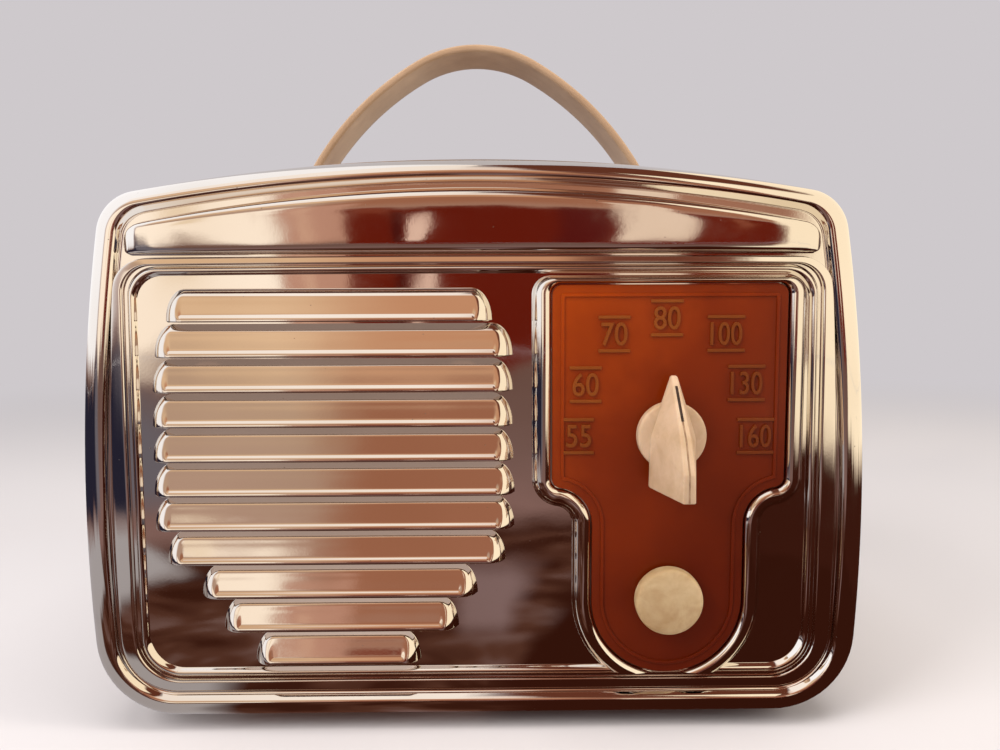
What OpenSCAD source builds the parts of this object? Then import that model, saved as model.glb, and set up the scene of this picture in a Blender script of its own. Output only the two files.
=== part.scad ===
// Small metal-cased tube radio with a louvred speaker grille, a keyhole dial and a strap handle.
// All sizes are in millimetres. The front faces -Y, and the feet stand on Z = 0.

/* [Cabinet] */
// Width of the cabinet at its widest
cabinet_w = 204.2; // [202:0.2:208]
// Height of the top's crown above the table
cabinet_top = 149.2; // [148:0.2:150]
// Depth from the front panel to the rear flange
cabinet_d = 110; // [108:1:120]
// Height of the rubber feet below the cabinet
foot_h = 3; // [2.5:0.5:5]
// Thickness of the drawn steel sheet
sheet = 1; // [0.9:0.1:1.1]
// Radius of the bowed sides
side_r = 500; // [480:10:540]
// Height at which the sides bow out furthest
waist_z = 54; // [52:1:56]
// Radius of the arched top
top_r = 485; // [470:5:500]
// Radius of the lower corners
low_corner_r = 22; // [21:0.5:23]
// Radius of the upper corners
high_corner_r = 12; // [11.5:0.5:13]

/* [Louvres] */
// Number of pressed hoods
louvre_count = 11; // [9:1:11]
// Distance from one hood's lip to the next
louvre_pitch = 8.87; // [8.8:0.01:8.95]
// Height of the top hood's lip
first_lip_z = 108.3; // [108:0.1:108.6]
// Radius of a hood's section
hood_r = 5.2; // [5:0.1:5.3]

/* [Dial] */
// Sideways place of the dial, the tuning shaft and the volume shaft
dial_x = 49.5; // [49:0.1:50]
// Half the width of the dial plate
dial_half_w = 29.9; // [29.5:0.1:30]
// Radius of the round lower end of the dial plate
tongue_r = 19.6; // [19.4:0.1:19.8]
// Height of the dial plate's upper edge
dial_top = 117.1; // [116.8:0.1:117.4]
// Height of the tuning shaft
tuning_z = 79; // [78:0.5:80]
// Height of the middle of the dial plate's round lower end
tongue_z = 35.5; // [35:0.5:36]
// Height of the volume shaft
volume_z = 36.2; // [35.2:0.5:36.2]
// Thickness of the moulded dial plate
plate_t = 1.6; // [1.4:0.1:1.8]

/* [Knobs] */
// Diameter of both control shafts
shaft_d = 6.35; // [6.3:0.05:6.4]
// Diameter of the tuning knob's skirt
skirt_d = 17.4; // [17:0.2:18]
// Diameter of the volume knob
volume_knob_d = 17.4; // [17:0.2:18]

/* [Handle] */
// Height of the strap's crown above the table
handle_top = 190.3; // [188:0.5:194]
// Width of the strap
strap_w = 19; // [17:1:20]
// Thickness of the strap
strap_t = 2.2; // [2:0.1:2.4]

/* [Speaker] */
// Sideways place of the speaker
speaker_x = -36.5; // [-37:0.5:-36]
// Height of the speaker's centre
speaker_z = 68; // [67.5:0.5:68.5]
// Outer diameter of the speaker
speaker_d = 102; // [100:0.5:102]

/* [Chassis] */
// Height of the chassis deck
deck_z = 50; // [50:0.5:51]
// Thickness of the chassis steel
pan_t = 1.2; // [1:0.1:1.4]

/* [Hidden] */
$fn = 48;

knob_reach = 24;
grommet_back = 5;
back_t = 2;
front_y = -(cabinet_d + grommet_back - knob_reach) / 2;
half_w = cabinet_w / 2;
handle_y = cabinet_d / 2;
shaft_r = shaft_d / 2;
running_gap = 0.05;
fixed_gap = 0.03;

// Arcs, outlines and lofted skins

function arc(c, r, a0, a1, n) = [
    for (i = [0:n]) c + r * [cos(a0 + (a1 - a0) * i / n), sin(a0 + (a1 - a0) * i / n)]
];

function rest(list) = [for (i = [1:len(list) - 1]) list[i]];

// A right-hand half line of [x, z] points, mirrored to the left to close the outline.
// Its last point is on the middle line, and its first is not.
function both_sides(half) = concat(
    half, [for (i = [len(half) - 2:-1:0]) [-half[i].x, half[i].y]]
);

// The upper crossing of two circles
function crossing(c1, r1, c2, r2) =
    let (
        d = norm(c2 - c1),
        u = (c2 - c1) / d,
        a = (d * d + r1 * r1 - r2 * r2) / (2 * d),
        h = sqrt(r1 * r1 - a * a),
        p = c1 + a * u,
        v = [-u.y, u.x]
    )
    (p + h * v).y > (p - h * v).y ? p + h * v : p - h * v;

// A bowed outline: half width w at the waist, flat bottom z0, crown z1, corner radii rb and rt,
// side radius sr and top radius tr
function bowed(w, z0, z1, rb, rt, sr, tr) =
    let (
        side = [w - sr, waist_z],
        top = [0, z1 - tr],
        low = [side.x + sqrt(pow(sr - rb, 2) - pow(z0 + rb - waist_z, 2)), z0 + rb],
        high = crossing(side, sr - rt, top, tr - rt),
        a1 = atan2(low.y - side.y, low.x - side.x),
        a2 = atan2(high.y - side.y, high.x - side.x),
        a3 = atan2(high.y - top.y, high.x - top.x)
    )
    both_sides(concat(
        arc(low, rb, -90, a1, 6),
        rest(arc(side, sr, a1, a2, 7)),
        rest(arc(high, rt, a2, a3, 5)),
        rest(arc(top, tr, a3, 90, 8))
    ));

// The cabinet's outline drawn in by amounts at the sides, the bottom and the top
function cabinet_outline(s, b, t) = bowed(
    half_w - s, foot_h + b, cabinet_top - t,
    max(low_corner_r - 0.9 * s, 3), max(high_corner_r - 0.6 * s, 3),
    side_r - s, top_r - t
);

function at_depth(points, y) = [for (p = points) [p.x, y, p.y]];

// A skin through loops of equal length: a closed tube of loops, or a stack with a cap at each end
module lofted(loops, wrap = false) {
    n = len(loops[0]);
    k = len(loops);
    sides = [
        for (j = [0:k - (wrap ? 1 : 2)], i = [0:n - 1])
        let (i2 = (i + 1) % n, j2 = (j + 1) % k)
        each [[j * n + i, j2 * n + i2, j * n + i2], [j * n + i, j2 * n + i, j2 * n + i2]]
    ];
    caps = wrap ? [] : [[for (i = [0:n - 1]) i], [for (i = [n - 1:-1:0]) (k - 1) * n + i]];
    polyhedron([for (l = loops) each l], concat(sides, caps));
}

// Placing

// Depths are measured from the front panel, and the part's origin is under its middle
module from_panel() {
    translate([0, front_y, 0]) children();
}

// A flat piece of [x, z] outline between two depths
module slab(points, y0, y1) {
    translate([0, y1, 0]) rotate([90, 0, 0]) linear_extrude(y1 - y0) polygon(points);
}

// A turned piece about a front-to-back axis, from a profile of [radius, depth] points
module turned(x, z, profile) {
    translate([x, 0, z]) rotate([-90, 0, 0]) rotate_extrude() polygon(profile);
}

// A rod about a front-to-back axis
module rod(x, z, r, y0, y1) {
    translate([x, y0, z]) rotate([-90, 0, 0]) cylinder(r = r, h = y1 - y0);
}

module block(x0, x1, y0, y1, z0, z1) {
    translate([x0, y0, z0]) cube([x1 - x0, y1 - y0, z1 - z0]);
}

module post(x, y, r, z0, z1) {
    translate([x, y, z0]) cylinder(r = r, h = z1 - z0);
}

// Cabinet

// Rows of the rounded outer band: insets at the sides, bottom and top, and the depth of the surface
band_rows = [
    [0, 0, 0, 6], [0.4, 0.4, 0.4, 3.2], [1.6, 1.6, 1.4, 0.4], [3.6, 3.6, 3.1, -1.6],
    [5.6, 5.8, 4.8, -1.4], [7.1, 7.2, 5.9, -0.5], [7.6, 7.7, 6.3, 0]
];
lining_rows = [
    [8.2, 8.4, 7, sheet], [6.6, 6.8, 5.4, 0.6], [4.6, 4.7, 4.1, -0.4], [2.9, 2.9, 2.6, 0.1],
    [1.4, 1.4, 1.4, 3.4], [sheet, sheet, sheet, 6.5]
];
flange_w = 9;

// One drawn skin: from the panel's rear face back to the flange, then forward to its front face
module cabinet_shell() {
    rows = concat(
        lining_rows, [[sheet, sheet, sheet, cabinet_d - sheet]],
        [for (y = [cabinet_d - sheet, cabinet_d]) [flange_w, flange_w, flange_w, y]],
        [[0, 0, 0, cabinet_d]], band_rows
    );
    lofted([for (r = rows) at_depth(cabinet_outline(r[0], r[1], r[2]), r[3])]);
}

// A pressed rib round the lower panel: its outer half width, bottom and top, its rows of insets,
// its outer corner radii at the bottom and top, and the radii of its outer and inner sides
module panel_rib(w, low, high, rows, rb, rt, outer_r, inner_r) {
    widest = rows[len(rows) - 1][0];
    lofted([
        for (r = rows)
        at_depth(bowed(w - r[0], low + r[1], high - r[2], rb - 0.6 * r[0], rt - 0.4 * r[0],
            outer_r + (inner_r - outer_r) * r[0] / widest, 9000), r[3])
    ], wrap = true);
}

wide_rib_rows = [
    [0, 0, 0, 0.5], [0.4, 0.4, 0.3, -0.6], [2.7, 1.5, 0.9, -1.1], [4.9, 2.5, 1.5, -0.6],
    [5.3, 2.9, 1.8, 0.5]
];
fine_rib_rows = [
    [0, 0, 0, 0.5], [0.4, 0.4, 0.4, -0.7], [1.1, 1.1, 1.1, -1.2], [1.8, 1.8, 1.8, -0.7],
    [2.2, 2.2, 2.2, 0.5]
];
rib_top = 124.4;
panel_side_r = 4000;

// The smooth bulging band across the top, and the hollow pressed behind it
visor_half_w = 93.2;
visor_low = 124.8;
visor_top = 141.2;
visor_top_r = 415;
visor_rows = [
    [0, 0, 0, 0.7], [0, 0, 0, 0.4], [0.5, 0.5, 0.5, -1.1], [2, 1.4, 1.4, -2.3],
    [5, 2.6, 2.6, -3.1], [11, 3.8, 3.8, -3.6], [22, 4.8, 5, -3.8]
];
hollow_rows = [
    [1.2, 1.2, 1.2, 2], [1.3, 1.3, 1.3, 0.3], [2.8, 2.2, 2.2, -1.1], [5.6, 3.2, 3.2, -2],
    [11.4, 4, 4, -2.5]
];

module visor(rows) {
    lofted([
        for (r = rows)
        at_depth(bowed(visor_half_w - r[0], visor_low + r[1], visor_top - r[2],
            max(2 - r[1], 0.4), max(4.5 - r[2], 0.4), side_r - 10, visor_top_r), r[3])
    ]);
}

// The keyhole outline of the dial, grown by g, and by top_g at its upper edge
shoulder_in_r = 9.5;
shoulder_out_r = 2.5;
shoulder_z = 67.5;

shoulder_centre = [
    tongue_r + shoulder_in_r,
    shoulder_z - sqrt(pow(shoulder_in_r + shoulder_out_r, 2)
        - pow(tongue_r + shoulder_in_r + shoulder_out_r - dial_half_w, 2))
];

function keyhole(g, top_g) =
    let (
        in_r = shoulder_in_r - g,
        out_r = max(shoulder_out_r + g, 0.5),
        out_x = dial_half_w + g - out_r,
        dx = shoulder_centre.x - out_x,
        dz = sqrt(pow(in_r + out_r, 2) - dx * dx),
        turn = atan2(dz, dx),
        corner_r = max(shoulder_out_r + top_g, 0.5),
        corner = [dial_half_w + g - corner_r, dial_top + top_g - corner_r]
    )
    [
        for (p = both_sides(concat(
            arc([0, tongue_z], tongue_r + g, -90, 0, 10),
            arc(shoulder_centre, in_r, 180, 180 - turn, 5),
            rest(arc([out_x, shoulder_centre.y + dz], out_r, -turn, 0, 5)),
            arc(corner, corner_r, 0, 90, 4),
            [[0, dial_top + top_g]]
        )))
        [p.x + dial_x, p.y]
    ];

bead_rows = [
    [4.7, 2.2, 0.4], [4.4, 2, -1], [3.3, 1.6, -2.1], [2.1, 1, -2.6], [1, 0.6, -2.3],
    [0.25, 0.25, -1.2], [0.25, 0.25, 0.4]
];

module dial_bead() {
    intersection() {
        lofted([for (r = bead_rows) at_depth(keyhole(r[0], r[1]), r[2])], wrap = true);
        block(0, half_w, -4, 1, 16.2, 122);
    }
}

// Each hood's left and right ends
hood_ends = [
    [-78, 4.5], [-81.2, 9.7], [-82.1, 9.7], [-82.4, 9.7], [-82.6, 9.9], [-82.7, 10.2],
    [-82.8, 10.1], [-79.9, 7.8], [-71.2, 0.5], [-65.8, -4.5], [-57.8, -14.5]
];
hood_h = 8.2;

// Shares of a hood's size with their depths, for its outside and for the hollow under it
hood_rows = [[1, 0.4], [0.96, -0.25], [0.74, -1.55], [0.45, -2.25], [0.18, -2.9], [0.04, -3.4]];
hollow_hood_rows = [[0.84, 2], [0.8, 0.5], [0.7, -0.25], [0.46, -0.95], [0.2, -1.6], [0.05, -2.3]];

function lip_z(i) = first_lip_z - louvre_pitch * i;

// A louvre's hood: a face that slopes out to the lip, with a quarter dome at each end
module hood(i, rows, low) {
    z = lip_z(i) - low;
    lofted([
        for (r = rows)
        let (w = r[0] * hood_r, h = r[0] * (hood_h + low))
        at_depth([
            for (a = [0:18:90]) [hood_ends[i].y - hood_r + w * cos(a), z + h * sin(a)],
            for (a = [90:18:180]) [hood_ends[i].x + hood_r + w * cos(a), z + h * sin(a)]
        ], r[1])
    ]);
}

stud_spots = [[-82, 113.5], [10, 114.5], [-78, 25.5], [5, 25.5]];
foot_spots = [[-72, 20], [72, 20], [-72, 90], [72, 90]];
back_screw_spots = [[-96.6, 60], [96.6, 60], [-60, 8], [60, 8], [-50, 141.4], [50, 141.4]];
pan_screw_spots = [[27, 17], [52, 95], [-52, 67], [-52, 95]];
plate_stud_spots = [[-27.3, 114.4], [27.3, 114.4], [-27.3, 74], [27.3, 74], [0, 18.4]];
slot_x = 53.2;
plate_seat = 0.1;

module cabinet() {
    $fn = 16;
    color("silver") from_panel() difference() {
        union() {
            cabinet_shell();
            panel_rib(94, 11.3, rib_top, wide_rib_rows, 14.5, 9, side_r - 8, panel_side_r);
            panel_rib(87.7, 15.2, rib_top - 2.1, fine_rib_rows, 10.5, 7.5,
                panel_side_r, panel_side_r);
            visor(visor_rows);
            dial_bead();
            for (i = [0:louvre_count - 1]) hood(i, hood_rows, 0);
            for (p = stud_spots) rod(p.x, p.y, 1.5, sheet - 0.2, 9);
        }
        visor(hollow_rows);
        for (i = [0:louvre_count - 1]) hood(i, hollow_hood_rows, 0.3);
        slab(keyhole(-5, -5), -1, 2);
        slab(keyhole(0.15, 0.15), -4, plate_seat);
        for (p = plate_stud_spots) rod(dial_x + p.x, p.y, 1.4, -1, 2);
        for (p = foot_spots) post(p.x, p.y, 2.6, foot_h - 1, foot_h + 2);
        for (p = pan_screw_spots) post(p.x, p.y, 1.7, foot_h - 1, foot_h + 2);
        for (p = back_screw_spots) rod(p.x, p.y, 1.4, cabinet_d - 3, cabinet_d + 1);
        for (side = [-1, 1])
            translate([side * slot_x, handle_y, cabinet_top])
                cube([4.6, strap_w + 0.8, 20], center = true);
    }
}

// Feet

module foot(i) {
    spot = foot_spots[i];
    color("dimgray") from_panel() translate([spot.x, spot.y, 0]) rotate_extrude() polygon([
        [0, 0], [5.6, 0], [6.2, 0.6], [6.2, foot_h], [2.5, foot_h], [2.5, foot_h + sheet],
        [3.4, foot_h + sheet], [2.2, foot_h + 4], [0, foot_h + 4]
    ]);
}

module foot_front_left() foot(0);
module foot_front_right() foot(1);
module foot_rear_left() foot(2);
module foot_rear_right() foot(3);

// Handle

crown_r = 36;
crown_turn = 30;
leg_r = 90;
leg_turn = 63.5;
tail = 15;

// Half of the strap's outer or inner line, from the crown down to the tail's end
function strap_line(inset) =
    let (
        crown_c = [0, handle_top - crown_r],
        knee = crown_c + crown_r * [sin(crown_turn), cos(crown_turn)],
        leg_c = knee - leg_r * [sin(crown_turn), cos(crown_turn)],
        leg_end = leg_c + (leg_r - inset) * [sin(leg_turn), cos(leg_turn)]
    )
    concat(
        arc(crown_c, crown_r - inset, 90, 90 - crown_turn, 8),
        rest(arc(leg_c, leg_r - inset, 90 - crown_turn, 90 - leg_turn, 10)),
        [leg_end + tail * [cos(leg_turn), -sin(leg_turn)]]
    );

function mirrored(points) = [for (i = [len(points) - 1:-1:0]) [-points[i].x, points[i].y]];

// Puts children at the strap's end: X runs down the tail, and Z points to the strap's inner face
module at_tail(side) {
    leg_c = [0, handle_top - crown_r] + (crown_r - leg_r) * [sin(crown_turn), cos(crown_turn)];
    end = leg_c + (leg_r - strap_t / 2) * [sin(leg_turn), cos(leg_turn)];
    mirror([side < 0 ? 1 : 0, 0, 0])
        translate([end.x, handle_y, end.y]) rotate([0, leg_turn, 0]) mirror([0, 0, 1]) children();
}

rivet_places = [10, -4.5, 4.5];

module rivet_row(r, z0, z1) {
    for (i = [1, 2])
        translate([rivet_places[0], rivet_places[i], z0]) cylinder(r = r, h = z1 - z0);
}

module handle() {
    outer = strap_line(0);
    inner = strap_line(strap_t);
    color("wheat") from_panel() difference() {
        translate([0, -(strap_w - cabinet_d) / 2, 0])
            slab(concat(mirrored(outer), rest(outer), [for (i = [len(inner) - 1:-1:0]) inner[i]],
                [for (i = [1:len(inner) - 1]) [-inner[i].x, inner[i].y]]), 0, strap_w);
        for (side = [-1, 1]) at_tail(side) rivet_row(1.5, -3, 3);
    }
}

anchor_t = 1.2;

module handle_anchor(side) {
    color("gray") from_panel() at_tail(side) difference() {
        translate([0, -strap_w / 2, 0]) union() {
            translate([5, 0, strap_t / 2]) cube([10, strap_w, anchor_t]);
            translate([5, 0, strap_t / 2]) cube([anchor_t, strap_w, 9]);
        }
        rivet_row(1.5, -3, 6);
    }
}

module handle_anchor_left() handle_anchor(-1);
module handle_anchor_right() handle_anchor(1);

module handle_rivets() {
    color("silver") from_panel() for (side = [-1, 1]) at_tail(side) {
        rivet_row(1.47, -strap_t / 2 - 0.4, strap_t / 2 + anchor_t + 0.4);
        rivet_row(2.6, -strap_t / 2 - 1.2, -strap_t / 2);
        rivet_row(2.6, strap_t / 2 + anchor_t, strap_t / 2 + anchor_t + 0.9);
    }
}

// Back

cord_spot = [-70, 26];
vent_rows = 5;
vent_cols = 13;

module back_cover() {
    color("saddlebrown") from_panel() difference() {
        slab(cabinet_outline(1.5, 1.5, 1.5), cabinet_d, cabinet_d + back_t);
        for (p = back_screw_spots) rod(p.x, p.y, 1.7, cabinet_d - 1, cabinet_d + back_t + 1);
        for (i = [0:vent_cols - 1], j = [0:vent_rows - 1])
            rod(10.5 * (i - (vent_cols - 1) / 2), 72 + 12 * j, 3, cabinet_d - 1, cabinet_d + back_t + 1);
        for (i = [0:vent_cols - 4], j = [0, 1])
            rod(10.5 * (i - (vent_cols - 7) / 2), 20 + 12 * j, 3, cabinet_d - 1, cabinet_d + back_t + 1);
        rod(cord_spot.x, cord_spot.y, 5.5, cabinet_d - 1, cabinet_d + back_t + 1);
    }
}

module back_screws() {
    color("gray") from_panel() for (p = back_screw_spots) {
        rod(p.x, p.y, 1.3, cabinet_d - 5, cabinet_d + back_t + 0.2);
        turned(p.x, p.y, concat(
            [[0, cabinet_d + back_t], [2.9, cabinet_d + back_t]],
            arc([0, cabinet_d + back_t + 0.3], 2.9, 0, 45, 3),
            [[0, cabinet_d + back_t + 1.9]]
        ));
    }
}

module cord_grommet() {
    y0 = cabinet_d - 2;
    y1 = cabinet_d + back_t;
    color("dimgray") from_panel() turned(cord_spot.x, cord_spot.y, [
        [3.2, y0 - 1], [6.6, y0 - 1], [7.6, y0], [7.6, cabinet_d], [5.45, cabinet_d], [5.45, y1],
        [7.6, y1], [7.6, y1 + 1.6], [6.2, cabinet_d + grommet_back], [3.2, cabinet_d + grommet_back]
    ]);
}

// Dial

frame_inset = 2.5;

module dial_plate() {
    color("chocolate") from_panel() difference() {
        union() {
            slab(keyhole(0, 0), -plate_t, plate_seat - fixed_gap);
            difference() {
                slab(keyhole(-frame_inset, -frame_inset), -plate_t - 0.5, -plate_t + 0.2);
                slab(keyhole(-frame_inset - 0.8, -frame_inset - 0.8), -plate_t - 1, 1);
            }
            for (p = plate_stud_spots) rod(dial_x + p.x, p.y, 1.3, -0.2, 4);
        }
        rod(dial_x, tuning_z, shaft_r + 1, -4, 1);
        rod(dial_x, volume_z, hub_r + 0.8, -4, 1);
    }
}

module dial_push_nuts() {
    color("gray") from_panel() for (p = plate_stud_spots) turned(dial_x + p.x, p.y, [
        [1.35, sheet], [3.4, sheet], [3.4, sheet + 0.5], [1.8, sheet + 1.2], [1.35, sheet + 1.2]
    ]);
}

lamp_x = 31;
lamp_y = 9;
lamp_z = 101;

module dial_lamp() {
    color("lemonchiffon") from_panel() translate([lamp_x, lamp_y, lamp_z])
        rotate_extrude() polygon(concat(
            [[0, 0.8], [4.4, 0.8], [4.4, 9]],
            arc([0, 14], 4.6, -20, 90, 8)
        ));
}

module lamp_socket() {
    color("silver") from_panel() {
        translate([lamp_x, lamp_y, lamp_z]) difference() {
            cylinder(r = 5.2, h = 8);
            translate([0, 0, 0.8]) cylinder(r = 4.5, h = 10);
        }
        difference() {
            union() {
                block(lamp_x - 3, lamp_x + 3, lamp_y + 4.9, lamp_y + 5.9, 88, lamp_z + 7);
                block(lamp_x - 3, lamp_x + 3, lamp_y + 4.9, gang_y0, 88, 89);
            }
            translate([lamp_x, lamp_y, lamp_z]) cylinder(r = 5, h = 8);
        }
    }
}

// Tuning: the knob's pointer is upright at rest, half way along the scale

knob_back = -plate_t - 1;
skirt_front = knob_back - 3.6;
hub_r = 5.4;

module tuning_knob() {
    color("wheat") from_panel() difference() {
        union() {
            turned(dial_x, tuning_z, [
                [0, knob_back], [skirt_d / 2 - 0.4, knob_back], [skirt_d / 2, knob_back - 0.4],
                [skirt_d / 2, skirt_front + 1], [skirt_d / 2 - 1, skirt_front + 0.2],
                [4, skirt_front - 0.4], [0, skirt_front - 0.4]
            ]);
            translate([dial_x, 0, tuning_z]) hull() {
                slab([[-5.85, -12.8], [5.85, -12.8], [5.6, 0], [1, 15.4], [-1, 15.4], [-5.6, 0]],
                    skirt_front - 0.6, skirt_front + 1);
                slab([[-1.5, -12.7], [1.5, -12.7], [1.4, -6], [-1.4, -6]], -knob_reach, -knob_reach + 0.4);
                slab([[-1.4, -2], [1.4, -2], [1.3, 1.5], [-1.3, 1.5]], 4 - knob_reach, 4.5 - knob_reach);
                slab([[-0.8, 8], [0.8, 8], [0.6, 13.4], [-0.6, 13.4]], skirt_front - 2.6, skirt_front - 2);
            }
        }
        rod(dial_x, tuning_z, shaft_r + fixed_gap, -12, 0);
        translate([dial_x, knob_back - 1.9, tuning_z]) cylinder(r = 1.3, h = skirt_d);
    }
}

module tuning_set_screw() {
    color("gray") from_panel() translate([dial_x, knob_back - 1.9, tuning_z + shaft_r + 0.02])
        cylinder(r = 1.25, h = 5);
}

gang_y0 = 16;
gang_y1 = 62;
gang_x0 = dial_x - 18;
gang_x1 = dial_x + 23;
gang_z0 = deck_z + 3;
gang_z1 = tuning_z + 17;
wall = 1.6;
leaf_pitch = 2.4;
leaf_t = 0.8;
leaves = 6;
sections = [20, 42];

module tuning_shaft() {
    color("silver") from_panel() {
        rod(dial_x, tuning_z, shaft_r, -11.5, gang_y1 - wall - 1);
        rod(dial_x, tuning_z, 2, gang_y1 - wall - 1, gang_y1 + 1);
    }
}

module rotor_plates() {
    color("gainsboro") from_panel() for (y = sections) difference() {
        union() {
            rod(dial_x, tuning_z, 4.4, y - 1, y + leaf_pitch * leaves);
            for (i = [0:leaves - 1]) intersection() {
                rod(dial_x, tuning_z, 14, y + leaf_pitch * i, y + leaf_pitch * i + leaf_t);
                block(dial_x - 15, dial_x + 15, y - 1, y + 20, tuning_z - 15, tuning_z);
            }
        }
        rod(dial_x, tuning_z, shaft_r + fixed_gap, y - 2, y + 20);
    }
}

module stator_plates() {
    color("gainsboro") from_panel() for (y = sections) {
        for (i = [0:leaves]) difference() {
            y0 = y + leaf_pitch * (i - 0.5);
            block(dial_x + 1, dial_x + 19, y0, y0 + leaf_t, tuning_z - 15, tuning_z + 15);
            rod(dial_x, tuning_z, 5.4, y0 - 1, y0 + 2);
        }
        for (side = [-1, 1])
            rod(dial_x + 17, tuning_z + 13 * side, 1.2, y - leaf_pitch, y + leaf_pitch * (leaves + 0.4));
    }
}

module gang_frame() {
    color("silver") from_panel() difference() {
        union() {
            block(gang_x0, gang_x1, gang_y0, gang_y0 + wall, gang_z0, gang_z1);
            block(gang_x0, gang_x1, gang_y1 - wall, gang_y1, gang_z0, gang_z1);
            block(gang_x0, gang_x1, gang_y0, gang_y1, gang_z0, gang_z0 + wall);
            block(gang_x0, gang_x1, gang_y0 + 20.5, gang_y0 + 21.5, gang_z0, gang_z1);
            rod(dial_x, tuning_z, 5.5, gang_y0 - 3, gang_y0 + wall);
        }
        rod(dial_x, tuning_z, shaft_r + running_gap, gang_y0 - 4, gang_y0 + 4);
        rod(dial_x, tuning_z, 5.4, gang_y0 + 18, gang_y0 + 24);
        rod(dial_x, tuning_z, 2 + running_gap, gang_y1 - 4, gang_y1 + 1);
        for (side = [-1, 1])
            block(dial_x + 15.5, gang_x1 + 1, gang_y0 + 18, gang_y0 + 24,
                tuning_z + 13 * side - 2.5, tuning_z + 13 * side + 2.5);
        for (p = gang_feet) post(p.x, p.y, 2.9, gang_z0 - 1, gang_z0 + 3);
    }
}

module gang_insulators() {
    color("ivory") from_panel() for (side = [-1, 1])
        block(dial_x + 19, dial_x + 22, gang_y0 + wall, gang_y1 - wall,
            tuning_z + 13 * side - 2, tuning_z + 13 * side + 2);
}

gang_feet = [[dial_x - 12, gang_y0 + 8], [dial_x + 14, gang_y0 + 8], [dial_x + 1, gang_y1 - 7]];

module gang_grommets() {
    color("dimgray") from_panel() for (p = gang_feet) translate([p.x, p.y, 0])
        rotate_extrude() polygon([
            [1.9, deck_z], [5, deck_z], [5, gang_z0], [2.85, gang_z0], [2.85, gang_z0 + wall],
            [4.6, gang_z0 + wall], [4.2, gang_z0 + wall + 1], [1.9, gang_z0 + wall + 1]
        ]);
}

module gang_screws() {
    top = gang_z0 + wall + 1;
    color("gray") from_panel() for (p = gang_feet) {
        post(p.x, p.y, 1.6, deck_z - 6, top + 0.2);
        post(p.x, p.y, 3.4, top, top + 1.6);
    }
}

// Volume and switch

apron_y = 10;
pot_y = apron_y + pan_t;
knob_dome = 1.6;

module volume_knob() {
    front = knob_back - 3.9;
    r = volume_knob_d / 2;
    color("wheat") from_panel() difference() {
        turned(dial_x, volume_z, concat(
            [[0, 2], [hub_r, 2], [hub_r, knob_back], [r - 0.5, knob_back], [r, knob_back - 0.5]],
            [for (a = [0:15:90]) [r - knob_dome * (1 - cos(a)), front + knob_dome * (1 - sin(a))]],
            [[r * 0.6, front - 0.4], [0, front - 0.6]]
        ));
        rod(dial_x, volume_z, shaft_r + fixed_gap, knob_back - 2.6, 3);
    }
}

module volume_shaft() {
    color("silver") from_panel() {
        rod(dial_x, volume_z, shaft_r, knob_back - 2.2, pot_y + 8);
        rod(dial_x, volume_z, 9, pot_y + 4, pot_y + 5);
    }
}

module volume_control_case() {
    color("dimgray") from_panel() {
        difference() {
            union() {
                rod(dial_x, volume_z, 12, pot_y, pot_y + 11);
                rod(dial_x, volume_z, 4.75, apron_y - 6, pot_y + 1);
            }
            rod(dial_x, volume_z, 11, pot_y + 1.2, pot_y + 12);
            rod(dial_x, volume_z, shaft_r + running_gap, apron_y - 7, pot_y + 2);
        }
        for (i = [-1:1])
            block(dial_x + 7 * i - 1.5, dial_x + 7 * i + 1.5, pot_y + 2, pot_y + 2.8,
                volume_z - 18, volume_z - 9 - (i == 0 ? 2.4 : 0));
    }
}

module volume_nut() {
    color("silver") from_panel() difference() {
        rod6(dial_x, volume_z, 7.4, apron_y - 2.4, apron_y);
        rod(dial_x, volume_z, 4.8, apron_y - 4, apron_y + 1);
    }
}

// A six-sided rod about a front-to-back axis
module rod6(x, z, r, y0, y1) {
    translate([x, y0, z]) rotate([-90, 0, 0]) cylinder(r = r, h = y1 - y0, $fn = 6);
}

module power_switch() {
    y0 = pot_y + 11;
    color("black") from_panel() difference() {
        union() {
            rod(dial_x, volume_z, 12, y0, y0 + 8);
            for (i = [-1, 1])
                block(dial_x + 5 * i - 1.5, dial_x + 5 * i + 1.5, y0 + 7, y0 + 12,
                    volume_z - 0.4, volume_z + 0.4);
        }
        rod(dial_x, volume_z, 10.5, y0 - 1, y0 + 6);
    }
}

// Speaker: the cone and coil move together along the speaker's axis

cloth_y0 = 1.3;
cloth_t = 0.6;
baffle_y0 = cloth_y0 + cloth_t;
baffle_y1 = baffle_y0 + 2.6;
flange_y1 = baffle_y1 + 1.2;
speaker_r = speaker_d / 2;
cone_r = 39;
rim_r = 41.2;
coil_r = 9;
magnet_y0 = baffle_y1 + 32;
speaker_screw_spots = [for (a = [45:90:315]) [speaker_x + 47 * cos(a), speaker_z + 47 * sin(a)]];

module board(y0, y1) {
    difference() {
        slab([[-86, 21], [11, 21], [13.5, 24], [13.5, 115.5], [11, 118.5], [-85, 118.5],
            [-88, 115.5], [-88, 34]], y0, y1);
        for (p = stud_spots) rod(p.x, p.y, 1.7, y0 - 1, y1 + 1);
    }
}

module speaker_baffle() {
    color("sienna") from_panel() difference() {
        board(baffle_y0, baffle_y1);
        rod(speaker_x, speaker_z, 43, 0, baffle_y1 + 1);
        for (p = speaker_screw_spots) rod(p.x, p.y, 1.7, 0, baffle_y1 + 1);
    }
}

module grille_cloth() {
    color("tan") from_panel() difference() {
        board(cloth_y0, baffle_y0);
        for (p = speaker_screw_spots) rod(p.x, p.y, 3.4, 0, baffle_y0 + 1);
    }
}

module baffle_nuts() {
    color("gray") from_panel() for (p = stud_spots) difference() {
        rod6(p.x, p.y, 3.6, baffle_y1, baffle_y1 + 2.4);
        rod(p.x, p.y, 1.53, baffle_y1 - 1, baffle_y1 + 4);
    }
}

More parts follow.
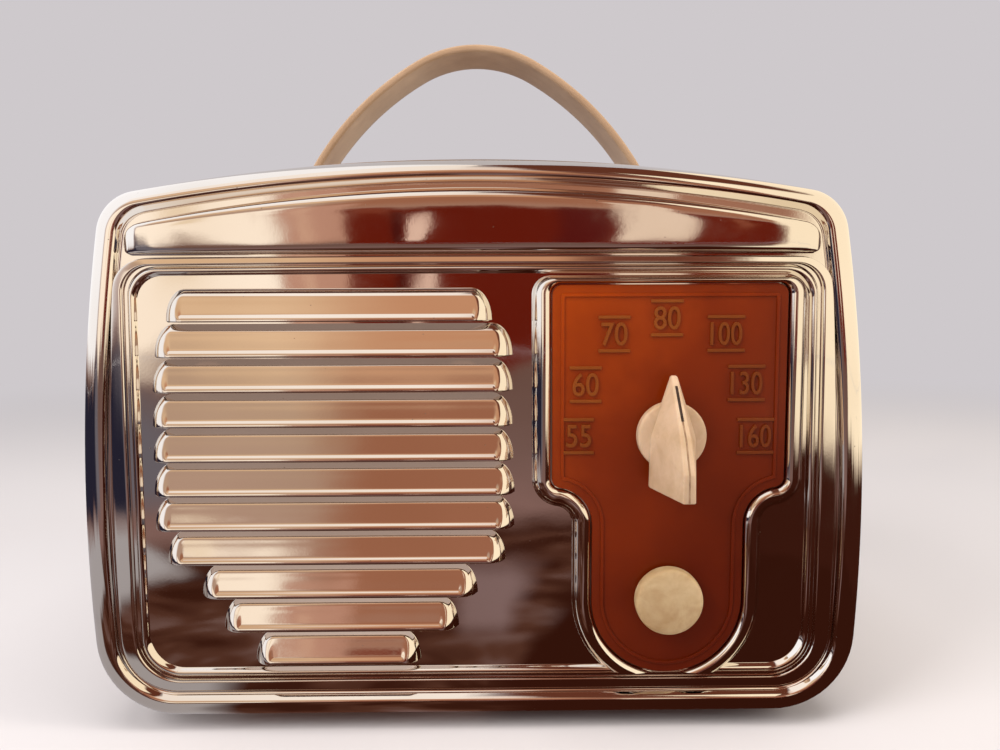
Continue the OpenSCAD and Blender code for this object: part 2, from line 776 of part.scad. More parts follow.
module speaker_screws() {
    color("gray") from_panel() for (p = speaker_screw_spots) {
        rod(p.x, p.y, 1.5, baffle_y0 - 0.2, flange_y1 + 3);
        rod(p.x, p.y, 3.1, baffle_y0 - 0.5, baffle_y0);
        rod6(p.x, p.y, 3.3, flange_y1, flange_y1 + 2.2);
    }
}

module speaker_basket() {
    color("dimgray") from_panel() difference() {
        turned(speaker_x, speaker_z, [
            [rim_r, baffle_y1], [speaker_r, baffle_y1], [speaker_r, flange_y1], [43.5, flange_y1],
            [42.5, flange_y1 + 4], [22.5, magnet_y0 - 4], [22.5, magnet_y0], [12, magnet_y0],
            [12, magnet_y0 - 1.2], [21.3, magnet_y0 - 1.2], [21.3, magnet_y0 - 4.4],
            [rim_r, flange_y1 + 3.6]
        ]);
        for (a = [0:90:270]) translate([speaker_x, 0, speaker_z]) rotate([0, a, 0])
            block(-11, 11, flange_y1 + 9, magnet_y0 - 6, 20, 60);
        for (p = speaker_screw_spots) rod(p.x, p.y, 1.7, 0, flange_y1 + 1);
    }
}

module speaker_magnet() {
    back = magnet_y0 + 18;
    color("slategray") from_panel() {
        turned(speaker_x, speaker_z, [
            [coil_r + 0.9, magnet_y0], [20, magnet_y0], [20, back], [0, back], [0, magnet_y0],
            [coil_r - 1, magnet_y0], [coil_r - 1, magnet_y0 + 4], [6.5, magnet_y0 + 4],
            [6.5, back - 2], [17, back - 2], [17, magnet_y0 + 3], [coil_r + 0.9, magnet_y0 + 3]
        ]);
    }
}

module speaker_cone() {
    front = baffle_y1 - 0.5;
    neck = magnet_y0 - 5;
    color("black") from_panel() turned(speaker_x, speaker_z, concat(
        [[cone_r, front], [cone_r, front + 0.6], [coil_r + 0.6, neck + 0.5], [coil_r - 0.4, neck + 0.5]],
        [for (a = [0:15:90]) [(coil_r - 0.4) * cos(a), neck - 3.4 * sin(a)]],
        [for (a = [90:-15:0]) [(coil_r + 0.2) * cos(a), neck - 0.4 - 3.6 * sin(a)]]
    ));
}

module voice_coil() {
    color("peru") from_panel() turned(speaker_x, speaker_z, [
        [coil_r - 0.2, magnet_y0 - 4.5], [coil_r + 0.2, magnet_y0 - 4.5],
        [coil_r + 0.2, magnet_y0 - 1], [coil_r + 0.5, magnet_y0 - 1],
        [coil_r + 0.5, magnet_y0 + 3.6], [coil_r - 0.2, magnet_y0 + 3.6]
    ]);
}

module speaker_surround() {
    y = baffle_y1 - 0.5;
    color("dimgray") from_panel() turned(speaker_x, speaker_z, [
        [cone_r + 0.1, y], [cone_r + 0.8, y - 0.7], [cone_r + 1.5, y], [rim_r, y], [rim_r + 1.6, y],
        [rim_r + 1.6, y + 0.5], [rim_r, y + 0.5], [cone_r + 1.5, y + 0.5], [cone_r + 0.8, y - 0.2],
        [cone_r + 0.1, y + 0.5]
    ]);
}

module speaker_spider() {
    y = magnet_y0 - 3;
    color("goldenrod") from_panel() turned(speaker_x, speaker_z, concat(
        [for (i = [0:6]) [coil_r + 0.3 + 2 * i, y + (i % 2 == 0 ? 0 : 0.7)]],
        [for (i = [6:-1:0]) [coil_r + 0.3 + 2 * i, y + 0.4 + (i % 2 == 0 ? 0 : 0.7)]]
    ));
}

module output_transformer() {
    x = speaker_x;
    y = flange_y1 + 10;
    z = speaker_z + 44.5;
    color("gray") from_panel() {
        block(x - 17, x + 17, y, y + 22, z + 3, z + 25);
        block(x - 11, x + 11, y - 5, y + 27, z + 6, z + 22);
        difference() {
            block(x - 22, x + 22, y + 2, y + 20, z + 1.8, z + 3);
            for (side = [-1, 1]) translate([x + 19.5 * side, y + 11, z]) cylinder(r = 1.6, h = 9);
        }
        block(x - 5, x + 5, flange_y1, y + 3, z + 1.8, z + 3);
        block(x - 5, x + 5, flange_y1, flange_y1 + 1.2, z + 0.5, z + 3);
    }
}

// Chassis

pan_left = -78;
pan_right = 78;
pan_step_x = 19;
pan_mid_y = 60;
pan_back_y = 103;
tube_y = 84;
tube_xs = [-58, -20, 18, 56];

function pan_plan(i) = [
    [pan_left + i, pan_mid_y + i], [pan_step_x + i, pan_mid_y + i], [pan_step_x + i, apron_y + i],
    [pan_right - i, apron_y + i], [pan_right - i, pan_back_y - i], [pan_left + i, pan_back_y - i]
];

module chassis() {
    floor_z = foot_h + sheet;
    color("silver") from_panel() difference() {
        union() {
            difference() {
                translate([0, 0, floor_z]) linear_extrude(deck_z - floor_z) polygon(pan_plan(0));
                translate([0, 0, floor_z - 1])
                    linear_extrude(deck_z - floor_z - pan_t + 1) polygon(pan_plan(pan_t));
            }
            for (p = pan_screw_spots)
                block(p.x - 7.5, p.x + 6.5, p.y - 6.5, p.y + 7.5, floor_z, floor_z + pan_t);
        }
        for (x = tube_xs) post(x, tube_y, 14.2, deck_z - 4, deck_z + 1);
        for (p = pan_screw_spots) post(p.x, p.y, 1.62, floor_z - 1, floor_z + 3);
        for (p = gang_feet) post(p.x, p.y, 1.7, deck_z - 4, deck_z + 1);
        rod(dial_x, volume_z, 4.9, apron_y - 1, apron_y + 3);
        for (i = [-1, 1]) post(dial_x + 24 * i, 66, 3, deck_z - 4, deck_z + 1);
    }
}

module chassis_screws() {
    color("gray") from_panel() for (p = pan_screw_spots) {
        post(p.x, p.y, 1.6, foot_h - 0.2, foot_h + 6);
        post(p.x, p.y, 3, foot_h - 1.6, foot_h);
    }
}

// Tubes

socket_t = 3;
pin_circle = 8.7;

module pin_ring(r, z0, z1) {
    for (a = [22.5:45:337.5]) post(pin_circle * cos(a), pin_circle * sin(a), r, z0, z1);
}

module tube_sockets() {
    z1 = deck_z - pan_t;
    color("saddlebrown") from_panel() for (x = tube_xs) translate([x, tube_y, 0]) difference() {
        union() {
            post(0, 0, 17, z1 - socket_t, z1);
            post(0, 0, 14, z1 - 1, deck_z);
        }
        post(0, 0, 4.2, z1 - 5, deck_z + 1);
        pin_ring(1.25, z1 - 5, deck_z + 1);
    }
}

base_z0 = deck_z + 0.4;
base_h = 14;
bulb_r = 14.6;

module tube_base(i) {
    color("black") from_panel() translate([tube_xs[i], tube_y, 0]) {
        difference() {
            post(0, 0, 16.2, base_z0, base_z0 + base_h);
            post(0, 0, bulb_r + 0.1, base_z0 + 2, base_z0 + base_h + 1);
        }
        post(0, 0, 4, base_z0 - 9, base_z0 + 0.5);
        pin_ring(1.2, base_z0 - 9, base_z0 + 0.5);
    }
}

module tube_glass(i) {
    z0 = base_z0 + 2;
    z1 = base_z0 + 60;
    color("lightcyan") from_panel() translate([tube_xs[i], tube_y, 0]) rotate_extrude() polygon(concat(
        [[bulb_r, z0]], arc([0, z1], bulb_r, 0, 90, 8), arc([0, z1], bulb_r - 1, 90, 0, 8),
        [[bulb_r - 1, z0]]
    ));
}

module rectifier_base() tube_base(0);
module rectifier_glass() tube_glass(0);
module output_tube_base() tube_base(1);
module output_tube_glass() tube_glass(1);
module detector_base() tube_base(2);
module detector_glass() tube_glass(2);
module amplifier_base() tube_base(3);
module amplifier_glass() tube_glass(3);

module tube_elements() {
    z0 = base_z0 + 2;
    color("dimgray") from_panel() for (x = tube_xs) translate([x, tube_y, 0]) {
        post(0, 0, 5.5, z0, z0 + 9);
        post(0, 0, 11, z0 + 9, z0 + 10);
        post(0, 0, 7.5, z0 + 10, z0 + 42);
        post(0, 0, 11, z0 + 42, z0 + 43);
        post(0, 0, 1.5, z0 + 43, z0 + 50);
        post(0, 0, 6, z0 + 50, z0 + 50.8);
    }
}

// Small parts under the deck

module tubular(at, turn, r, length, lead) {
    translate(at) rotate(turn) {
        cylinder(r = r, h = length, center = true);
        cylinder(r = 0.5, h = length + 2 * lead, center = true);
    }
}

module filter_capacitor() {
    color("peru") from_panel() tubular([-12, 84, 16.5], [0, 90, 0], 9.5, 56, 6);
}

module coil(x, y) {
    difference() {
        union() {
            post(x, y, 7, 16, deck_z - pan_t);
            post(x, y, 9.5, 20, 34);
            post(x, y, 8.4, 37, 42);
        }
        post(x, y, 6, 15, deck_z - pan_t - 3);
    }
}

module antenna_coil() {
    color("darkgoldenrod") from_panel() coil(66, 40);
}

module detector_coil() {
    color("darkgoldenrod") from_panel() coil(46, 42);
}

module paper_capacitors() {
    color("khaki") from_panel() {
        tubular([66, 72, 14], [90, 0, 0], 5, 26, 5);
        tubular([50, 78, 14], [90, 0, 0], 5, 26, 5);
        tubular([-2, 68, 15], [0, 90, 0], 5, 26, 5);
        tubular([-42, 68, 15], [0, 90, 0], 5, 26, 5);
    }
}

module resistors() {
    color("sienna") from_panel() {
        for (x = [-58, -20, 18]) tubular([x, 95, 30], [0, 90, 0], 2.2, 11, 4);
        for (y = [66, 78]) tubular([-8, y, 28], [0, 90, 0], 2.2, 11, 4);
    }
}

module terminal_strip() {
    color("saddlebrown") from_panel() {
        block(-44, -4, 97, 98.6, 8, 17);
        for (x = [-40:8:-8]) block(x - 1.5, x + 1.5, 94, 101, 17, 17.6);
        block(-26, -22, 98.6, pan_back_y - pan_t, 10, 14);
    }
}

// A wire along straight runs, swept as one skin with mitred bends
function unit(v) = v / norm(v);

function wire_rings(points, ring, i = 1) = i == len(points) ? [] :
    let (
        run = unit(points[i] - points[i - 1]),
        next = i + 1 < len(points) ? unit(points[i + 1] - points[i]) : run,
        face = unit(run + next),
        moved = [for (p = ring) p + run * ((points[i] - p) * face) / (run * face)]
    )
    concat([moved], wire_rings(points, moved, i + 1));

module wire(points, r) {
    run = unit(points[1] - points[0]);
    u = unit(cross(run, [1, 0.1, 0.3]));
    v = cross(run, u);
    start = [for (k = [0:9]) points[0] + r * (cos(36 * k) * u + sin(36 * k) * v)];
    lofted(concat([start], wire_rings(points, start)));
}

wire_runs = [
    [[-58, 76, 39], [-58, 70, 34], [-20, 70, 34], [-20, 76, 39]],
    [[-20, 92, 39], [-20, 98, 36], [18, 98, 36], [18, 92, 39]],
    [[18, 76, 39], [18, 71, 38], [56, 71, 38], [56, 76, 39]],
    [[dial_x + 5, 35.3, volume_z], [55.2, 35.5, 12], [58, 46, 8], [62, 60, 8], [60, 86, 8], [20, 97, 8]]
];

module hookup_wires() {
    color("gold") from_panel() for (run = wire_runs) wire(run, 0.9);
}

cabinet();
foot_front_left();
foot_front_right();
foot_rear_left();
foot_rear_right();
handle();
handle_anchor_left();
handle_anchor_right();
handle_rivets();
back_cover();
back_screws();
cord_grommet();
dial_plate();
dial_push_nuts();
dial_lamp();
lamp_socket();
tuning_knob();
tuning_set_screw();
tuning_shaft();
rotor_plates();
gang_frame();
stator_plates();
gang_insulators();
gang_grommets();
gang_screws();
volume_knob();
volume_shaft();
volume_control_case();
volume_nut();
power_switch();
speaker_baffle();
baffle_nuts();
grille_cloth();
speaker_basket();
speaker_magnet();
speaker_cone();
voice_coil();
speaker_surround();
speaker_spider();
speaker_screws();
output_transformer();
chassis();
chassis_screws();
tube_sockets();
rectifier_base();
rectifier_glass();
output_tube_base();
output_tube_glass();
detector_base();
detector_glass();
amplifier_base();
amplifier_glass();
tube_elements();
filter_capacitor();
antenna_coil();
detector_coil();
paper_capacitors();
resistors();
terminal_strip();
hookup_wires();
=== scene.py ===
"""The looks of a small chrome-cased tube radio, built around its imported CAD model."""
import math

import bmesh
import bpy
import numpy as np
from mathutils import Matrix, Vector


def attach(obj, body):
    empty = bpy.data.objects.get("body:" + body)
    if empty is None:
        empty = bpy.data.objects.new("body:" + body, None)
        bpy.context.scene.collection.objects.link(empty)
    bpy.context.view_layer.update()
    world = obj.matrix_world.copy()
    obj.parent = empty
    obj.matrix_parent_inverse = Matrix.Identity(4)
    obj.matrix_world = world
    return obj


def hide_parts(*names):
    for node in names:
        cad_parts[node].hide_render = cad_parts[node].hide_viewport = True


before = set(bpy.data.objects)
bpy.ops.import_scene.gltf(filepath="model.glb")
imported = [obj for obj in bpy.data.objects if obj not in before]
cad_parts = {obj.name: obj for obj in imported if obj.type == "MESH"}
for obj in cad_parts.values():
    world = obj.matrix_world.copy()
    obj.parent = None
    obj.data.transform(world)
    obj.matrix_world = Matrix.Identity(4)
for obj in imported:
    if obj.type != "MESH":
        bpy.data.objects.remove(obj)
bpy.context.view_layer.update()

# Shapes are written in millimetres, with depth counted from the front panel's face
PANEL_Y = -45.5
CABINET_D, HANDLE_Y, WAIST_Z = 110, 55, 54.0
DIAL_X, TUNING_Z, VOLUME_Z, TONGUE_Z = 49.5, 79.0, 36.2, 35.5
LOUVRES, FIRST_LIP_Z, LOUVRE_PITCH = 11, 108.3, 8.87
HOOD_R, HOOD_H, HOOD_Y = 5.2, 8.2, -3.47


def metres(points):
    p = np.array(points, float).reshape(-1, 3)
    p[:, 1] += PANEL_Y
    return p * 0.001


# ---------------------------------------------------------------- mesh helpers

def link(obj):
    bpy.context.scene.collection.objects.link(obj)
    return obj


def make_object(name, verts, faces, body, material, crease):
    mesh = bpy.data.meshes.new(name)
    mesh.from_pydata(metres(verts).tolist(), [], [list(f) for f in faces])
    mesh.validate()
    return from_mesh(name, mesh, body, material, crease)


def from_mesh(name, mesh, body, material, crease):
    for p in mesh.polygons:
        p.use_smooth = True
    mesh.set_sharp_from_angle(angle=math.radians(crease))
    mesh.materials.append(material)
    obj = link(bpy.data.objects.new(name, mesh))
    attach(obj, body)
    return obj


def curve_through(points, count):
    """A smooth line (Catmull-Rom) through rows of numbers, with equal steps in each span."""
    p = np.array(points, float)
    p = np.vstack([2 * p[0] - p[1], p, 2 * p[-1] - p[-2]])
    out = []
    spans = len(p) - 3
    for i in range(spans):
        steps = max(2, round(count / spans))
        for k in range(steps + (i == spans - 1)):
            t = k / steps
            a, b, c, d = p[i], p[i + 1], p[i + 2], p[i + 3]
            out.append(0.5 * (2 * b + (c - a) * t + (2 * a - 5 * b + 4 * c - d) * t * t
                              + (3 * b - a - 3 * c + d) * t ** 3))
    return np.array(out)


def arc(cx, cz, r, a0, a1, n):
    a = np.radians(np.linspace(a0, a1, n + 1))
    return np.stack([cx + r * np.cos(a), cz + r * np.sin(a)], 1)


def skin(loops):
    """Faces between closed loops of equal length."""
    loops = np.array(loops, float)
    k, n, _ = loops.shape
    faces = []
    for j in range(k - 1):
        for i in range(n):
            i2 = (i + 1) % n
            faces.append((j * n + i, j * n + i2, (j + 1) * n + i2, (j + 1) * n + i))
    return loops.reshape(-1, 3), faces


def sheet_grid(grid):
    """Faces of an open grid of points."""
    grid = np.array(grid, float)
    k, n, _ = grid.shape
    faces = [(j * n + i, j * n + i + 1, (j + 1) * n + i + 1, (j + 1) * n + i)
             for j in range(k - 1) for i in range(n - 1)]
    return grid.reshape(-1, 3), faces


def turned_to(verts, faces, direction=(0, -1, 0)):
    """The faces, flipped where they look away from a direction on the whole."""
    v = np.array(verts, float)
    total = np.zeros(3)
    for f in faces:
        for i in range(1, len(f) - 1):
            total += np.cross(v[f[i]] - v[f[0]], v[f[i + 1]] - v[f[0]])
    return flipped(faces) if total @ np.array(direction, float) < 0 else faces


def flipped(faces):
    return [tuple(reversed(f)) for f in faces]


class Parts:
    """Collects several skins into one mesh."""

    def __init__(self):
        self.verts, self.faces = [], []

    def add(self, verts, faces):
        n = len(self.verts)
        self.verts.extend(np.array(verts, float).tolist())
        self.faces.extend([tuple(i + n for i in f) for f in faces])

    def front(self, verts, faces):
        self.add(verts, turned_to(verts, faces))


def unpacked(bm):
    bm.verts.index_update()
    out = [tuple(v.co) for v in bm.verts], [tuple(v.index for v in f.verts) for f in bm.faces]
    bm.free()
    return out


def clipped(verts, faces, point, normal):
    """The part of a skin on the side that a plane's normal points to."""
    bm = bmesh.new()
    vs = [bm.verts.new(v) for v in np.array(verts, float)]
    for f in faces:
        try:
            bm.faces.new([vs[i] for i in f])
        except ValueError:
            pass
    bmesh.ops.remove_doubles(bm, verts=bm.verts, dist=1e-4)
    bmesh.ops.bisect_plane(bm, geom=bm.verts[:] + bm.edges[:] + bm.faces[:], dist=1e-5,
                           plane_co=point, plane_no=normal, clear_inner=True)
    return unpacked(bm)


def filled(outlines, depth, thickness, bevel=0.0, resolution=1):
    """A flat sheet of [x, z] outlines, the first the outer one and the rest its holes. Its front
    face is at the depth given."""
    curve = bpy.data.curves.new("outline", "CURVE")
    curve.dimensions = "2D"
    curve.fill_mode = "BOTH"
    curve.extrude = thickness / 2 - bevel
    curve.bevel_depth = bevel
    curve.bevel_resolution = resolution
    curve.offset = -bevel
    for outline in outlines:
        spline = curve.splines.new("POLY")
        spline.points.add(len(outline) - 1)
        for point, (x, z) in zip(spline.points, outline):
            point.co = (x, z, 0, 1)
        spline.use_cyclic_u = True
    return flat_from_curve(curve, depth, thickness)


def flat_from_curve(curve, depth, thickness):
    obj = link(bpy.data.objects.new("outline", curve))
    bpy.context.view_layer.update()
    graph = bpy.context.evaluated_depsgraph_get()
    mesh = bpy.data.meshes.new_from_object(obj.evaluated_get(graph))
    verts = [(v.co.x, depth + thickness / 2 - v.co.z, v.co.y) for v in mesh.vertices]
    faces = [tuple(p.vertices) for p in mesh.polygons]
    bpy.data.objects.remove(obj)
    bpy.data.curves.remove(curve)
    bpy.data.meshes.remove(mesh)
    return verts, faces


def lathe(profile, x, z, steps=96):
    """A piece turned about a front-to-back axis, from [radius, depth] rows."""
    a = np.linspace(0, 2 * np.pi, steps, endpoint=False)
    loops = [np.stack([x + r * np.cos(a), np.full(steps, y), z + r * np.sin(a)], 1)
             for r, y in profile]
    return skin(loops)


# ---------------------------------------------------------------- materials

def linear(colour):
    """A grey level in 0..1 or an sRGB colour in 0..255, as the linear values that sockets take."""
    if not isinstance(colour, tuple):
        return (colour, colour, colour, 1)
    levels = [c / 255 for c in colour]
    return (*[c / 12.92 if c <= 0.04045 else ((c + 0.055) / 1.055) ** 2.4 for c in levels], 1)


def is_socket(value):
    return hasattr(value, "links")


class Graph:
    """The nodes of a material or of the world, with short ways to add to them."""

    def __init__(self, tree):
        self.nodes, self.links = tree.nodes, tree.links

    def feed(self, socket, value):
        """Links a socket, or gives it a plain value."""
        if is_socket(value):
            self.links.new(value, socket)
        elif value is not None:
            socket.default_value = value

    def add(self, kind, inputs, **settings):
        node = self.nodes.new("ShaderNode" + kind)
        for name, value in settings.items():
            setattr(node, name, value)
        for socket, value in inputs.items():
            self.feed(node.inputs[socket], value)
        return node

    def coords(self, stretch=None):
        place = self.add("TexCoord", {}).outputs["Object"]
        if stretch is None:
            return place
        return self.add("Mapping", {"Scale": stretch, "Vector": place}).outputs["Vector"]

    def split(self, vector=None):
        """The X, Y and Z of a vector, or of the place on the piece."""
        return self.add("SeparateXYZ", {0: self.coords() if vector is None else vector}).outputs

    def noise(self, size_mm, detail=3, rough=0.5, stretch=None, distortion=0.0):
        """Noise with features of about a size in millimetres."""
        return self.add("TexNoise", {
            "Scale": 1000.0 / size_mm, "Detail": detail, "Roughness": rough,
            "Distortion": distortion, "Vector": self.coords(stretch)}).outputs["Fac"]

    def cells(self, scale):
        return self.add("TexVoronoi", {"Scale": scale, "Vector": self.coords()}).outputs["Distance"]

    def ramp(self, value, *stops):
        """A colour or a grey level by a value, from stops of (value, colour)."""
        node = self.add("ValToRGB", {"Fac": value})
        elements = node.color_ramp.elements
        for element, (position, colour) in zip(elements, (stops[0], stops[-1])):
            element.position, element.color = position, linear(colour)
        for position, colour in stops[1:-1]:
            elements.new(position).color = linear(colour)
        return node.outputs["Color"]

    def mixed(self, factor, a, b, mode="MIX"):
        a, b = (c if is_socket(c) else linear(c) for c in (a, b))
        return self.add("Mix", {0: factor, 6: a, 7: b}, data_type="RGBA",
                        blend_type=mode).outputs[2]

    def maths(self, operation, *values, clamp=False):
        return self.add("Math", dict(enumerate(values)), operation=operation,
                        use_clamp=clamp).outputs[0]

    def vector(self, operation, *values):
        return self.add("VectorMath", dict(enumerate(values)), operation=operation).outputs[0]

    def smooth(self, value, low, high, rising=True):
        """A soft step from 0 to 1, or back down, between two values."""
        ends = (0.0, 1.0) if rising else (1.0, 0.0)
        return self.add("MapRange", {
            "Value": value, "From Min": low, "From Max": high, "To Min": ends[0],
            "To Max": ends[1]}, interpolation_type="SMOOTHSTEP").outputs["Result"]

    def bump(self, height, distance_mm, strength, base=None):
        return self.add("Bump", {"Distance": distance_mm * 0.001, "Strength": strength,
                                 "Height": height, "Normal": base}).outputs["Normal"]

    def glow(self, colour, strength=1.0):
        return self.add("Emission", {"Color": colour, "Strength": strength}).outputs[0]

    def blend(self, factor, a, b):
        return self.add("MixShader", {"Fac": factor, 1: a, 2: b}).outputs[0]

    def end_in(self, output, shader):
        self.links.new(shader, self.nodes[output].inputs["Surface"])


class Surface(Graph):
    """A material with its principled shader."""

    def __init__(self, name):
        self.material = bpy.data.materials.new(name)
        self.material.use_nodes = True
        super().__init__(self.material.node_tree)
        self.shader = self.nodes["Principled BSDF"]

    def put(self, values):
        for socket, value in values.items():
            self.feed(self.shader.inputs[socket], value)
        return self.material


def chrome_material():
    g = Surface("chrome_plate")
    spots = g.ramp(g.cells(420), (0.0, 1), (0.045, 1), (0.075, 0))
    rare = g.ramp(g.noise(9, 2), (0.56, 0), (0.66, 1))
    pitted = g.mixed(1.0, spots, rare, "MULTIPLY")
    film = g.noise(60, 2, distortion=0.4)
    plate = g.ramp(film, (0.3, (226, 219, 210)), (0.7, (238, 234, 229)))
    haze = g.ramp(g.noise(14, 5, 0.6), (0.35, 0.035), (0.62, 0.065), (0.8, 0.14))
    ripple = g.bump(g.noise(26, 2, 0.4), 0.22, 0.6)
    return g.put({
        "Metallic": 1.0,
        "Base Color": g.mixed(pitted, plate, (96, 74, 56)),
        "Roughness": g.mixed(pitted, haze, 0.6),
        "Normal": g.bump(g.noise(0.8, 3, 0.6), 0.004, 0.5, ripple),
    })


def amber_material(name, light, middle, dark):
    g = Surface(name)
    place = g.split()
    # painted shade: the plate is lighter at its upper left, toward the key light, and darker to its
    # lower right, with a cloudy tone laid over it
    across = g.maths("MULTIPLY_ADD", place["X"], 9.0, -0.17)
    down = g.maths("MULTIPLY_ADD", place["Z"], -7.5, 0.88)
    cloud = g.maths("MULTIPLY_ADD", g.noise(16, 4, 0.55), 0.5, -0.25)
    depth = g.maths("ADD", g.maths("ADD", across, down), cloud, clamp=True)
    soft = g.bump(g.noise(9), 0.08, 0.5)
    return g.put({
        "Base Color": g.ramp(depth, (0.0, light), (0.45, middle), (1.0, dark)),
        "Roughness": 0.3,
        "Specular IOR Level": 0.22,
        "Coat Weight": 0.07,
        "Coat Roughness": 0.1,
        "Subsurface Weight": 0.15,
        "Subsurface Radius": (1.0, 0.35, 0.1),
        "Subsurface Scale": 0.0012,
        "Normal": g.bump(g.noise(0.5, 3, 0.6), 0.006, 0.6, soft),
    })


def cream_material(name, light, dark, rough=0.38):
    g = Surface(name)
    blotch = g.noise(7, 4, 0.6, distortion=0.3)
    colour = g.ramp(blotch, (0.3, light), (0.72, dark))
    spots = g.ramp(g.noise(1.6, 4, 0.7), (0.62, 0), (0.78, 0.35))
    return g.put({
        "Base Color": g.mixed(spots, colour, (150, 116, 78)),
        "Roughness": g.ramp(blotch, (0.3, rough), (0.8, rough + 0.16)),
        "Subsurface Weight": 0.3,
        "Subsurface Radius": (1.0, 0.7, 0.4),
        "Subsurface Scale": 0.0012,
        "Normal": g.bump(g.noise(0.6, 4, 0.6), 0.012, 0.7),
    })


def strap_material():
    g = Surface("strap_hide")
    tone = g.noise(12, 4, 0.6, stretch=(1, 1, 0.5))
    colour = g.ramp(tone, (0.3, (198, 168, 140)), (0.7, (172, 140, 112)))
    creases = g.ramp(g.cells(2100), (0.0, 0), (0.5, 1))
    # the cut edges are browner than the faces
    off = g.maths("ABSOLUTE", g.maths("SUBTRACT", g.split()["Y"], 0.001 * (HANDLE_Y + PANEL_Y)))
    edge = g.ramp(g.maths("MULTIPLY", off, 100.0), (0.86, 0), (0.94, 0.55))
    low = g.bump(g.noise(4), 0.06, 0.6)
    return g.put({
        "Base Color": g.mixed(edge, colour, (178, 142, 108)),
        "Roughness": 0.46,
        "Coat Weight": 0.15,
        "Coat Roughness": 0.3,
        "Normal": g.bump(creases, 0.02, 0.5, low),
    })


def metal_material(name, light, dark, rough=0.32, grain=None, worn=(70, 52, 38)):
    g = Surface(name)
    colour = g.ramp(g.noise(8, 5, 0.6), (0.3, light), (0.7, dark))
    rust = g.ramp(g.noise(3, 5, 0.7), (0.66, 0), (0.8, 0.6))
    brushed = g.noise(0.5, 3, 0.6, stretch=grain)
    return g.put({
        "Metallic": 1.0,
        "Base Color": g.mixed(rust, colour, worn),
        "Roughness": g.ramp(brushed, (0.3, rough), (0.8, rough + 0.2)),
        "Normal": g.bump(brushed, 0.01, 0.6),
    })


def underside_material():
    """The louvres' dull inner skin, with a painted glow that stands in for the light bounced up
    between them.
    """
    g = Surface("dull_plate_painted_glow")
    rise = g.maths("MULTIPLY", g.split()["Z"], 8.7)
    return g.put({
        "Metallic": 1.0,
        "Base Color": g.ramp(g.noise(8, 5, 0.6), (0.3, (206, 198, 190)), (0.7, (170, 160, 150))),
        "Roughness": 0.3,
        # painted light: the emission is a glow in place of bounced light, paler towards the bottom
        "Emission Color": g.ramp(rise, (0.25, (226, 206, 196)), (0.5, (192, 170, 160)),
                                 (0.9, (158, 136, 126))),
        "Emission Strength": 0.8,
    })


def plain_material(name, light, dark, rough=0.6, feature=5.0, grain=0.4, depth=0.03, coat=0.0):
    """Plastic, paint, card or rubber: mottled colour, with a fine relief."""
    g = Surface(name)
    tone = g.noise(feature, 4, 0.6)
    return g.put({
        "Base Color": g.ramp(tone, (0.3, light), (0.7, dark)),
        "Roughness": g.ramp(tone, (0.2, rough - 0.08), (0.8, rough + 0.1)),
        "Coat Weight": coat,
        "Normal": g.bump(g.noise(grain, 4, 0.65), depth, 0.7),
    })


def fibre_material(name, light, dark):
    """Pressed fibreboard: short lying fibres and flecks."""
    g = Surface(name)
    fibres = g.maths("MAXIMUM", g.noise(1.2, 4, 0.7, stretch=(0.25, 1, 1)),
                     g.noise(1.2, 4, 0.7, stretch=(1, 1, 0.25)))
    colour = g.ramp(fibres, (0.4, dark), (0.62, light))
    shade = g.ramp(g.noise(30), (0.3, 0.82), (0.7, 1))
    return g.put({
        "Base Color": g.mixed(1.0, colour, shade, "MULTIPLY"),
        "Roughness": 0.72,
        "Normal": g.bump(fibres, 0.06, 0.8),
    })


def weave_material(name, light, dark, pitch_mm):
    """Cloth with a plain over-and-under weave in the X-Z plane."""
    g = Surface(name)
    place = g.split()
    k = 2 * math.pi * 1000 / pitch_mm
    over = g.maths("MULTIPLY", *(g.maths("SINE", g.maths("MULTIPLY", place[axis], k))
                                 for axis in ("X", "Z")))
    height = g.maths("MULTIPLY_ADD", over, 0.5, 0.5)
    thread = g.mixed(0.35, height, g.noise(0.3, 3, 0.7))
    return g.put({
        "Base Color": g.ramp(thread, (0.2, dark), (0.75, light)),
        "Roughness": 0.85,
        "Sheen Weight": 0.2,
        "Normal": g.bump(height, 0.12, 0.9),
    })


def glass_material(name):
    g = Surface(name)
    dust = g.noise(6, 4, 0.6)
    return g.put({
        "Base Color": g.ramp(dust, (0.3, (240, 245, 246)), (0.8, (214, 220, 218))),
        "Roughness": g.ramp(dust, (0.4, 0.02), (0.8, 0.16)),
        "Transmission Weight": 0.92,
        "IOR": 1.47,
    })


MAT = {
    "chrome": chrome_material(),
    "inside": underside_material(),
    "amber": amber_material("amber_plastic", (164, 62, 1), (122, 38, 0), (92, 23, 0)),
    # the numbers' paler amber is a painted highlight on their raised tops
    "amber_painted_highlight": amber_material("amber_painted_highlight", (150, 78, 24), (120, 58, 16), (96, 34, 8)),
    "cream": cream_material("cream_plastic", (212, 182, 152), (188, 156, 122)),
    "cream_old": cream_material("cream_plastic_yellowed", (204, 178, 138), (172, 138, 94), 0.42),
    "strap": strap_material(),
    "glass": glass_material("tube_glass"),
    "fibre": fibre_material("fibreboard", (136, 96, 62), (84, 56, 34)),
    "grille": weave_material("grille_weave", (76, 58, 44), (24, 17, 13), 1.1),
    "spider": weave_material("spider_weave", (150, 112, 66), (96, 66, 36), 0.8),
    "wire": weave_material("wire_braid", (124, 108, 60), (70, 58, 30), 0.6),
}
